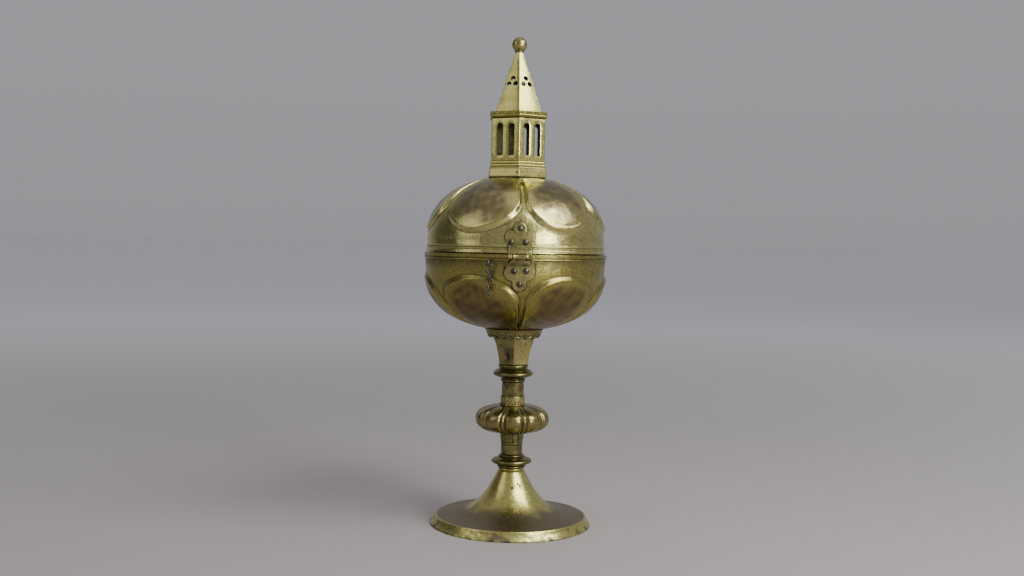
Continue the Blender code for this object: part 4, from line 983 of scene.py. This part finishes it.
def makeCornice():
    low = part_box("tower_cornice")[0].z / mm
    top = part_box("tower_cornice")[1].z / mm
    edge = tower["corniceR"]
    profile = [(edge - 0.15, top), (edge, top - 0.15)]
    profile += straight([(edge, top - 0.3), (edge - 0.1, top - 1.5)], 3)
    profile += curved([(edge - 0.2, top - 1.9), (edge - 0.05, top - 2.6), (edge - 0.5, top - 3.3),
                       (tower["arcadeR"] + 0.1, low + 0.1)], 4)
    profile += [(tower["arcadeR"] - 0.4, low), (tower["arcadeR"] * 0.75, low),
                (tower["arcadeR"] * 0.75, top - 1.6), (edge - 1.1, top - 1.6), (edge - 0.9, top - 0.1)]
    obj = surface("cornice", hexGrid(profile), ring=True, sharp=35)
    cutters = []
    for side in range(6):
        for off in tower["corniceHoles"]:
            spot = Matrix.Translation((off * mm, -edge * tower["sideShare"] * mm, (top - 0.95) * mm))
            lean = Matrix.Rotation(math.pi / 2, 4, "X")
            cutters.append(rodAt(tower["corniceHoleR"], 3.0, sideTurn(side) @ spot @ lean, 12))
    obj = pierce(obj, cutters)
    spots = spotsOf(obj)
    # The underside and a line under the lip are painted dark as shade, with uneven darkening over all
    dirtAndShade = 0.36 * hump(spots[:, 2] - top + 1.75, 0.35) + 0.5 * (spots[:, 2] < low + 0.4)
    paint(obj, "grime", dirtAndShade + 0.15 * wobble(spots, 4, 85))
    place(obj, bowlGilt, "lid", "gilt_copper", "tower_cornice")


def makeSpire():
    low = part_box("spire")[0].z / mm
    top = low + tower["spireH"]
    outside = [(0, top), (1.4, top), (tower["spireTopR"], top)]
    outside += straight([(tower["spireTopR"] + 0.03, top - 0.15)]
                        + [(r, low + z) for r, z in tower["spireMm"]] + [(tower["spireR"], low + 0.3)], 8)
    outside += [(tower["spireR"], low)]
    wall = tower["spireWall"] / math.cos(math.pi / 6)
    inside = straight([(tower["spireR"] - wall, low), (tower["spireTopR"] - 0.8, top - 1.6)], 6)
    inside += [(0.8, top - 1.6), (0, top - 1.6)]
    grid = hexGrid(outside + inside, tower["spireSoften"], tower["spireBow"])
    obj = surface("spireShell", grid, sharp=28)
    cutters = []
    tilt = math.atan2((tower["spireR"] - tower["spireTopR"]) * tower["sideShare"], tower["spireH"])
    for side in range(6):
        for x, z in ((-tower["holeSpread"], tower["holeRise"]), (tower["holeSpread"], tower["holeRise"]),
                     (0, tower["holeRise"] + tower["holeStep"])):
            depth = spireCorner(z) * tower["sideShare"]
            spot = Matrix.Translation((x * mm, -depth * mm, (low + z) * mm))
            lean = Matrix.Rotation(math.pi / 2 - tilt, 4, "X")
            cutters.append(rodAt(tower["holeR"], 4.2, sideTurn(side) @ spot @ lean))
    obj = pierce(obj, cutters)
    spots = spotsOf(obj)
    # The inside of the spire is painted dark as shade
    skin = spireCorner(spots[:, 2] - low) * tower["sideShare"]
    inside = 1 - smooth(-0.5, -0.2, sideReach(spots) - skin)
    dirtAndShade = 0.9 * inside * (spots[:, 2] < top - 0.5) + seamDirt(spots) * (spots[:, 2] < top - 4)
    paint(obj, "grime", dirtAndShade)
    place(obj, towerGilt, "lid", "gilt_copper", "spire")


def makeBall():
    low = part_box("finial_ball")[0].z / mm
    size = (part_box("finial_ball")[1].z / mm - low) / 2
    rows, columns = 56, 96
    angles = np.linspace(0, math.radians(146), rows)
    profile = [(size * math.sin(a), low + size + size * math.cos(a)) for a in angles]
    profile += [(2.75, low + 0.45), (2.7, low), (1.2, low), (0, low)]
    grid = turnedGrid(profile, columns)
    radius = fromAxis(grid)[0]
    # A notch at the crown and small dents
    notch = np.exp(-(((grid[..., 0] + 0.5) / 0.9) ** 2 + ((grid[..., 1] + 1.4) / 0.8) ** 2))
    notch *= grid[..., 2] > low + 6
    grid[..., 2] -= 0.7 * notch
    setRadius(grid, radius * (1 - 0.012 * (1 + wobble(grid, 4, 91))))
    # The notch and spots are darkened, and the stalk under the ball is painted dark as shade
    grime = 0.6 * notch + 0.25 * smooth(0.1, 0.9, wobble(grid, 3, 92)) + 0.35 * (grid[..., 2] < low + 0.8)
    worn = 0.35 * smooth(-0.3, 0.6, wobble(grid, 3.5, 93))
    obj = surface("finialBall", grid, worn=worn, grime=grime)
    place(obj, neckGilt, "lid", "gilt_copper", "finial_ball")


makePlinth()
makeArcade()
makeCornice()
makeSpire()
makeBall()
print("tower made")


# Clasp and hinge
fixture = {
    "sheet": 0.9, "halfW": 6.6, "tabIn": 1.3, "middle": (-4.2, 3.0), "knuckleR": 1.6,
    "lobeR": 4.0, "sideR": 4.1, "sideX": 4.5, "lidSideIn": 8.5, "bowlSideIn": 10.3, "lidPlateH": 18.0,
    "bowlPlateH": 20.7, "lidRivetX": (-5.0, 3.0), "bowlRivetX": (-3.1, 3.5), "lidRivetIn": 11.7,
    "bowlRivetIn": 11.5, "rivetR": 1.8, "washerR": 3.5, "axisRadius": 56.55, "stepMm": 0.5,
    "clearR": 54.8, "bandR": 53.7,
    "ringMarks": [(-3.8, 2.7), (3.4, 2.9)],  # across the plate, and above the seam
}
axisLevel = rimLevel - 1.3
axisRadius = fixture["axisRadius"]


def skinRadius(level, onLid):
    dome = vessel["lid"] if onLid else vessel["bowl"]
    middle = lidLevel if onLid else bowlLevel
    share = np.clip((level - middle) * dome["side"] / dome["height"], 0, 0.999)
    return dome["radius"] * (1 - share ** dome["power"]) ** (1 / dome["power"])


def plateBack(level, onLid):
    # Distance of a plate's back from the axis: clear of the bands by the seam, and on the skin beyond them
    clear = fixture["clearR"]
    if onLid:
        skin = skinRadius(level, True)
        skin = np.where(level < lidLevel, np.maximum(fixture["bandR"], skin), skin)
        share = smooth(0, 2.5, level - seamLevel)
    else:
        skin = skinRadius(level, False)
        share = smooth(0, 2.5, rimLevel - 4.8 - level)
    return clear + (skin + 0.32 - clear) * share


def arcPoints(x, z, radius, start, end, steps):
    angles = np.radians(np.linspace(start, end, steps + 1))
    return [(x + radius * math.cos(a), z + radius * math.sin(a)) for a in angles]


def trefoil(onLid):
    # Outline of a plate, from its tabs at the knuckles to its three lobes
    direction = 1 if onLid else -1
    end = seamLevel + fixture["lidPlateH"] if onLid else rimLevel - fixture["bowlPlateH"]
    sideLevel = end - direction * fixture["lidSideIn" if onLid else "bowlSideIn"]
    lobeLevel = end - direction * fixture["lobeR"]
    right = arcPoints(fixture["sideX"], sideLevel, fixture["sideR"], -60, 78, 12)
    top = arcPoints(0, lobeLevel, fixture["lobeR"], -22, 202, 20)
    if not onLid:
        right = [(x, 2 * sideLevel - z) for x, z in right]
        top = [(x, 2 * lobeLevel - z) for x, z in top]
    left = [(-x, z) for x, z in reversed(right)]
    start, finish = fixture["middle"]
    half = fixture["halfW"]
    if onLid:
        notch = rimLevel + 0.35
        tabs = [(-half, axisLevel), (start - 0.3, axisLevel), (start - 0.3, notch), (finish + 0.3, notch),
                (finish + 0.3, axisLevel), (half, axisLevel)]
    else:
        notch = axisLevel - fixture["knuckleR"] - 0.5
        narrow = half - fixture["tabIn"]
        tabs = [(-narrow, notch), (start, notch), (start, axisLevel), (finish, axisLevel), (finish, notch),
                (narrow, notch)]
    return tabs + right + top + left


def outlineGap(x, z, outline):
    # Distance of points from a closed outline, less than zero inside it
    gap = np.full(x.shape, 1e9)
    inside = np.zeros(x.shape, bool)
    for (x0, z0), (x1, z1) in zip(outline, outline[1:] + outline[:1]):
        run, climb = x1 - x0, z1 - z0
        share = np.clip(((x - x0) * run + (z - z0) * climb) / (run ** 2 + climb ** 2), 0, 1)
        gap = np.minimum(gap, np.hypot(x - x0 - run * share, z - z0 - climb * share))
        if climb:
            inside ^= ((z0 > z) != (z1 > z)) & (x < x0 + (z - z0) * run / climb)
    return np.where(inside, -gap, gap)


makeBowlAndLid()
print("bowl and lid made")


def bentPlate(name, onLid, back):
    # A flat plate, cut into small squares so that it can bend round the vessel, with softened edges
    bm = bmesh.new()
    outline = trefoil(onLid)
    bm.faces.new([bm.verts.new((x, 0, z)) for x, z in outline])
    low, high = min(z for x, z in outline), max(z for x, z in outline)
    cuts = [((x, 0, 0), (1, 0, 0)) for x in np.arange(-9, 9.01, fixture["stepMm"])]
    cuts += [((0, 0, z), (0, 0, 1)) for z in np.arange(low + fixture["stepMm"], high, fixture["stepMm"])]
    for point, normal in cuts:
        geometry = bm.verts[:] + bm.edges[:] + bm.faces[:]
        bmesh.ops.bisect_plane(bm, geom=geometry, plane_co=point, plane_no=normal, dist=0.0001)
    sheet = bmesh.ops.extrude_face_region(bm, geom=bm.faces[:])["geom"]
    raised = [v for v in sheet if isinstance(v, bmesh.types.BMVert)]
    for vertex in raised:
        vertex.co.y = -fixture["sheet"]
    bm.normal_update()
    rimEdges = [edge for edge in bm.edges if all(abs(v.co.y + fixture["sheet"]) < 1e-6 for v in edge.verts)
                and len(edge.link_faces) == 2 and abs(edge.link_faces[0].normal.y) < 0.5]
    rimEdges += [edge for edge in bm.edges if edge not in rimEdges
                 and all(abs(v.co.y + fixture["sheet"]) < 1e-6 for v in edge.verts)
                 and len(edge.link_faces) == 2 and abs(edge.link_faces[1].normal.y) < 0.5]
    bmesh.ops.bevel(bm, geom=rimEdges, offset=0.22, segments=2, profile=0.6, affect="EDGES", clamp_overlap=True)
    bmesh.ops.recalc_face_normals(bm, faces=bm.faces[:])
    for vertex in bm.verts:
        depth = -vertex.co.y
        seat = float(plateBack(vertex.co.z, onLid))
        angle = vertex.co.x / vessel["seamRadius"]
        radius = seat + depth
        vertex.co.x, vertex.co.y = radius * math.sin(angle), -radius * math.cos(angle)
    if back:
        bmesh.ops.rotate(bm, verts=bm.verts[:], matrix=Matrix.Rotation(math.pi, 3, "Z"))
    bm.transform(Matrix.Scale(mm, 4))
    return meshObject(name, bm)


def knuckleMesh(name, start, end, radius, waist, back):
    # A rolled knuckle with rounded ends; waist hollows it in the middle
    half = (end - start) / 2
    profile = [(0, half)]
    for step in range(4):
        angle = math.radians(90 - 30 * step)
        profile.append((radius - 0.3 + 0.3 * math.cos(angle), half - 0.3 + 0.3 * math.sin(angle)))
    middle = np.linspace(half - 0.5, -half + 0.5, 9)
    profile += [(radius - waist * math.cos(z / half * math.pi / 2) ** 1.5, z) for z in middle]
    for step in range(4):
        angle = math.radians(-30 * step)
        profile.append((radius - 0.3 + 0.3 * math.cos(angle), -half + 0.3 + 0.3 * math.sin(angle)))
    profile.append((0, -half))
    grid = turnedGrid(profile, 40)
    turned = np.empty_like(grid)
    turned[..., 0] = grid[..., 2] + (start + end) / 2
    turned[..., 1] = grid[..., 0] - axisRadius
    turned[..., 2] = grid[..., 1] + axisLevel
    if back:
        turned[..., :2] *= -1
    return surface(name, turned, sharp=50)


def plateDirtAndShade(spots, onLid, back):
    # Sides painted dark as shade, a rubbed lip, darker fields, a black band of painted shadow under the
    # knuckles and two old ring marks
    turn = -1 if back else 1
    across = np.arctan2(spots[:, 0] * turn, -spots[:, 1] * turn) * vessel["seamRadius"]
    depth = -outlineGap(across, spots[:, 2], trefoil(onLid))
    dirtAndShade = 0.02 + 0.12 * wobble(spots, 5, 101) + 0.5 * hump(depth, 0.12)
    dirtAndShade -= 0.30 * hump(depth - 0.35, 0.30)
    dirtAndShade += 0.12 * smooth(0.9, 2.0, depth)
    if onLid:
        for x, rise in fixture["ringMarks"]:
            reach = np.hypot(across - x, spots[:, 2] - seamLevel - rise)
            dirtAndShade += 0.4 * hump(reach - 1.5, 0.3)
    else:
        dirtAndShade += 0.35 * smooth(7.4, 6.2, rimLevel - spots[:, 2]) * (np.abs(across) < 5.6)
    return dirtAndShade


def makeFixture(prefix, lidNode, bowlNode, back):
    start, finish = fixture["middle"]
    half = fixture["halfW"]
    radius = fixture["knuckleR"]
    lidPlate = bentPlate(prefix + "LidPlate", True, back)
    bowlPlate = bentPlate(prefix + "BowlPlate", False, back)
    for obj, body, node in ((lidPlate, "lid", lidNode), (bowlPlate, "base", bowlNode)):
        obj.data.shade_smooth()
        obj.data.set_sharp_from_angle(angle=math.radians(35))
        spots = spotsOf(obj)
        paint(obj, "grime", plateDirtAndShade(spots, body == "lid", back))
        paint(obj, "worn", 0.5 * wobble(spots, 7, 102))
        place(obj, fixtureGilt, body, "gilt_copper", node)
    for name, span, body, waist in ((prefix + "KnuckleLeft", (-half, start - 0.3), "lid", 0.15),
                                    (prefix + "KnuckleRight", (finish + 0.3, half), "lid", 0.25),
                                    (prefix + "KnuckleMiddle", (start, finish), "base", 0.35)):
        place(knuckleMesh(name, *span, radius, waist, back), fixtureGilt, body, "gilt_copper")


makeFixture("clasp", "clasp_plate_lid", "clasp_plate_bowl", False)
makeFixture("hinge", "hinge_leaf_lid", "hinge_leaf_bowl", True)


# Rivets: hammered domes, some on a washer
rivets = {"Radius": 1.75, "Height": 1.25}


def domeInTree(tree, radius, height):
    # A domed disc that stands on the origin, made from a ball cut flat at its middle
    ball = addNode(tree, "GeometryNodeMeshUVSphere", {"Segments": 36, "Rings": 20, "Radius": 1.0})
    spot = addNode(tree, "GeometryNodeInputPosition")
    parts = addNode(tree, "ShaderNodeSeparateXYZ", {0: spot}).outputs
    up = addNode(tree, "ShaderNodeMath", {0: parts[2], 1: 0.0}, operation="MAXIMUM")
    up = addNode(tree, "ShaderNodeMath", {0: up, 1: height}, operation="MULTIPLY")
    x = addNode(tree, "ShaderNodeMath", {0: parts[0], 1: radius}, operation="MULTIPLY")
    y = addNode(tree, "ShaderNodeMath", {0: parts[1], 1: radius}, operation="MULTIPLY")
    new = addNode(tree, "ShaderNodeCombineXYZ", {0: x, 1: y, 2: up})
    return addNode(tree, "GeometryNodeSetPosition", {"Geometry": ball, "Position": new})


def rivetTree():
    tree, given = newTree("Hammered rivets", rivets)
    head = domeInTree(tree, given.outputs["Radius"], given.outputs["Height"])
    out = addNode(tree, "GeometryNodeInputNamedAttribute", {"Name": "out"}, data_type="FLOAT_VECTOR")
    turn = addNode(tree, "FunctionNodeAlignRotationToVector", {"Vector": out}, axis="Z")
    driven = addNode(tree, "GeometryNodeInstanceOnPoints", {
        "Points": given.outputs["Geometry"], "Instance": head, "Rotation": turn, "Scale": (mm, mm, mm)})
    endTree(tree, driven, darkIron)
    return tree


def rivetSeat(x, level, onLid, back):
    # Where a rivet stands on its plate, and the way it points
    radius = fixture["rivetR"]
    ends = (plateBack(level - radius, onLid) + plateBack(level + radius, onLid)) / 2
    seat = max(float(plateBack(level, onLid)), float(ends)) + fixture["sheet"] + 0.02
    below, above = skinRadius(level - radius, onLid), skinRadius(level + radius, onLid)
    lean = math.atan2(float(below - above), radius * 2)
    angle = x / vessel["seamRadius"] + (math.pi if back else 0)
    turn = Matrix.Rotation(angle, 3, "Z")
    return turn @ Vector((0, -seat, level)) * mm, turn @ Vector((0, -math.cos(lean), math.sin(lean)))


def makeWasher(name, seat, out):
    # A thin gilt washer under the top rivet
    radius = fixture["washerR"]
    grid = turnedGrid([(0, 0.3), (radius - 1.0, 0.3), (radius - 0.45, 0.34), (radius - 0.12, 0.22),
                       (radius, 0.05), (radius - 0.1, -0.15), (0, -0.15)], 48)
    turn = out.to_track_quat("Z", "Y").to_matrix()
    spots = grid @ np.array(turn).T + np.array(seat) / mm
    radius, level = np.hypot(grid[..., 0], grid[..., 1]), grid[..., 2]
    # The ring round the rivet and the underside are painted dark as shade
    grime = 0.45 * hump(radius - fixture["rivetR"] - 0.1, 0.35) + 0.6 * (level < 0.1)
    obj = surface(name, spots, sharp=50, grime=grime)
    place(obj, fixtureGilt, "lid", "gilt_copper")


def makeRivets():
    tree = rivetTree()
    lidEnd, bowlEnd = seamLevel + fixture["lidPlateH"], rimLevel - fixture["bowlPlateH"]
    lidSpots = [(0, lidEnd - fixture["lobeR"])]
    lidSpots += [(x, lidEnd - fixture["lidRivetIn"]) for x in fixture["lidRivetX"]]
    bowlSpots = [(0, bowlEnd + fixture["lobeR"])]
    bowlSpots += [(x, bowlEnd + fixture["bowlRivetIn"]) for x in fixture["bowlRivetX"]]
    for prefix, back in (("clasp", False), ("hinge", True)):
        makeWasher(prefix + "Washer", *rivetSeat(*lidSpots[0], True, back))
        for onLid, spots, body in ((True, lidSpots, "lid"), (False, bowlSpots, "base")):
            side = "lid" if onLid else "bowl"
            seats = [rivetSeat(x, level, onLid, back) for x, level in spots]
            name = f"{prefix}Rivets{side.title()}"
            obj = grown(name, tree, rivets, [spot for spot, out in seats],
                        {"out": [out for spot, out in seats]})
            nodes = [f"{prefix}_rivet_{side}_{index}" for index in (1, 2, 3)]
            place(obj, darkIron, body, "dark_iron", *nodes)


makeRivets()


# Chain: four links of iron wire on an eye in the rim; the last one is empty
chain = {"Length": 5.5, "Width": 3.3, "Wire radius": 0.36}


def chainTree():
    tree, given = newTree("Chain links", chain)
    outline = addNode(tree, "GeometryNodeCurvePrimitiveQuadrilateral", {
        0: given.outputs["Width"], 1: given.outputs["Length"]})
    bend = addNode(tree, "ShaderNodeMath", {0: given.outputs["Width"], 1: 0.499}, operation="MULTIPLY")
    path = addNode(tree, "GeometryNodeFilletCurve", {
        "Curve": outline, "Radius": bend, "Count": 10}, mode="POLY")
    wire = addNode(tree, "GeometryNodeCurvePrimitiveCircle", {
        "Resolution": 14, "Radius": given.outputs["Wire radius"]})
    link = addNode(tree, "GeometryNodeCurveToMesh", {"Curve": path, "Profile Curve": wire})
    upright = addNode(tree, "GeometryNodeTransform", {
        "Geometry": link, "Rotation": (math.pi / 2, 0, 0)})
    out = addNode(tree, "GeometryNodeInputNamedAttribute", {"Name": "turn"}, data_type="FLOAT_VECTOR")
    turn = addNode(tree, "FunctionNodeEulerToRotation", {0: out})
    strung = addNode(tree, "GeometryNodeInstanceOnPoints", {
        "Points": given.outputs["Geometry"], "Instance": upright, "Rotation": turn,
        "Scale": (mm, mm, mm)})
    endTree(tree, strung, chainIron)
    return tree


def makeChain():
    tree = chainTree()
    side = math.radians(-17.2)  # the links hang flat to the bowl's side, or square to it by turns
    centres, turns = [], []
    for index in range(4):
        low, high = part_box(f"chain_link_{index + 1}")
        centres.append((low + high) / 2)
        turns.append((0, 0, side + (math.pi / 2 if index % 2 else 0)))
    obj = grown("chainLinks", tree, chain, centres, {"turn": turns})
    place(obj, chainIron, "base", "dark_iron", *[f"chain_link_{index + 1}" for index in range(4)])
    low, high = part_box("chain_staple")
    eye = grown("chainEye", tree, {**chain, "Length": 3.9, "Width": 3.9}, [(low + high) / 2],
                {"turn": [(0, 0, side + math.pi / 2)]})
    place(eye, chainIron, "base", "dark_iron", "chain_staple")


makeChain()


def makePin():
    half, reach = fixture["halfW"] + 0.3, 0.7
    profile = [(0, half + reach), (0.7, half + reach), (1.1, half + reach * 0.7), (1.2, half + 0.1),
               (1.15, half), (0.8, half), (0.8, -half), (1.15, -half), (1.2, -half - 0.1),
               (1.1, -half - reach * 0.7), (0.7, -half - reach), (0, -half - reach)]
    grid = turnedGrid(profile, 28)
    laid = np.stack([grid[..., 2], grid[..., 0] + axisRadius, grid[..., 1] + axisLevel], -1)
    obj = surface("hingePin", laid, sharp=40)
    place(obj, fixtureGilt, "base", "gilt_copper", "hinge_pin")


makePin()
print("clasp, hinge and chain made")


# Floor, light and camera
stand = {
    "floor": "#aaa4a1", "farFloor": "#fbf9fc", "gradeM": (0.25, 1.9), "floorM": 40.0,
    "worldLow": "#9b999f", "worldHigh": "#a2a1a7", "worldRise": 0.17,
    "worldStrength": 1.0, "leftStrength": 0.25, "leftFrom": (-0.85, -0.5),
    # Each softbox: watts, degrees to the right of the front, degrees up, and its width and height in metres
    "lamps": {"key": (10.2, 52.0, 45.0, (0.8, 0.55)), "fill": (1.25, -66.0, 27.0, (0.5, 0.85)),
              "card": (5.2, 37.0, 10.5, (0.38, 0.28)), "top": (0.6, 0, 88, (0.7, 0.7))},
    "lampM": 1.1, "aimM": 0.15,
}
sight = {
    # Lens and sensor in mm; degrees right of the front, metres away and up, degrees down and of roll
    "lens": 41.24, "sensor": 36.0, "shift": -2.8 / 1024,
    "azimuth": -2.6, "away": 0.7044, "height": 0.1712, "down": 2.343, "roll": 1.15,
}


def makeFloor():
    bm = bmesh.new()
    bmesh.ops.create_circle(bm, cap_ends=True, segments=128, radius=stand["floorM"])
    obj = meshObject("floor", bm)
    material = bpy.data.materials.new("Studio paper")
    material.use_nodes = True
    tree = material.node_tree
    shader = tree.nodes["Principled BSDF"]
    here = addNode(tree, "ShaderNodeTexCoord").outputs["Object"]
    # The paper is paler far off, where the lamps don't reach, so that it meets the backdrop without a line
    away = addNode(tree, "ShaderNodeVectorMath", {0: here}, operation="LENGTH").outputs["Value"]
    near, far = stand["gradeM"]
    share = addNode(tree, "ShaderNodeMapRange", {
        "Value": away, "From Min": near, "From Max": far}, interpolation_type="SMOOTHSTEP")
    tone = addNode(tree, "ShaderNodeMix", {
        0: share, 6: hexColour(stand["floor"]), 7: hexColour(stand["farFloor"])}, data_type="RGBA").outputs[2]
    tree.links.new(tone, shader.inputs["Base Color"])
    shader.inputs["Roughness"].default_value = 0.9
    obj.data.materials.append(material)


def makeSoftbox(name, power, azimuth, elevation, size):
    light = bpy.data.lights.new(name, "AREA")
    light.shape = "RECTANGLE"
    light.size, light.size_y = size
    light.energy = power
    obj = newObject(name, light)
    turn, lift = math.radians(azimuth), math.radians(elevation)
    aim = Vector((0, 0, stand["aimM"]))
    away = Vector((math.sin(turn) * math.cos(lift), -math.cos(turn) * math.cos(lift), math.sin(lift)))
    obj.location = aim + away * stand["lampM"]
    obj.rotation_euler = away.to_track_quat("Z", "Y").to_euler()


def makeLights():
    for name, lamp in stand["lamps"].items():
        makeSoftbox(name, *lamp)
    world = bpy.data.worlds.new("Studio")
    world.use_nodes = True
    # The backdrop is a little darker at the horizon than ten degrees above it
    tree = world.node_tree
    look = addNode(tree, "ShaderNodeTexCoord").outputs["Generated"]
    ways = addNode(tree, "ShaderNodeSeparateXYZ", {0: look}).outputs
    share = addNode(tree, "ShaderNodeMapRange", {
        "Value": ways[2], "From Min": 0.0, "From Max": stand["worldRise"]})
    colour = addNode(tree, "ShaderNodeMix", {
        0: share, 6: hexColour(stand["worldLow"]), 7: hexColour(stand["worldHigh"])},
        data_type="RGBA").outputs[2]
    # The room is darker far to the left, where its strength falls to leftStrength
    leftEnd, leftStart = stand["leftFrom"]
    level = addNode(tree, "ShaderNodeMapRange", {
        "Value": ways[0], "From Min": leftEnd, "From Max": leftStart, "To Min": stand["leftStrength"],
        "To Max": stand["worldStrength"]})
    back = tree.nodes["Background"]
    tree.links.new(colour, back.inputs["Color"])
    tree.links.new(level.outputs[0], back.inputs["Strength"])
    bpy.context.scene.world = world


def makeCamera():
    view = bpy.data.cameras.new("camera")
    view.lens = sight["lens"]
    view.sensor_width = sight["sensor"]
    view.shift_x = sight["shift"]
    obj = newObject("camera", view)
    azimuth, away = math.radians(sight["azimuth"]), sight["away"]
    spot = Matrix.Translation((math.sin(azimuth) * away, -math.cos(azimuth) * away, sight["height"]))
    obj.matrix_world = (spot @ Matrix.Rotation(azimuth, 4, "Z")
                        @ Matrix.Rotation(math.radians(90 - sight["down"]), 4, "X")
                        @ Matrix.Rotation(math.radians(sight["roll"]), 4, "Z"))
    bpy.context.scene.camera = obj


makeFloor()
makeLights()
makeCamera()
print("stand made")
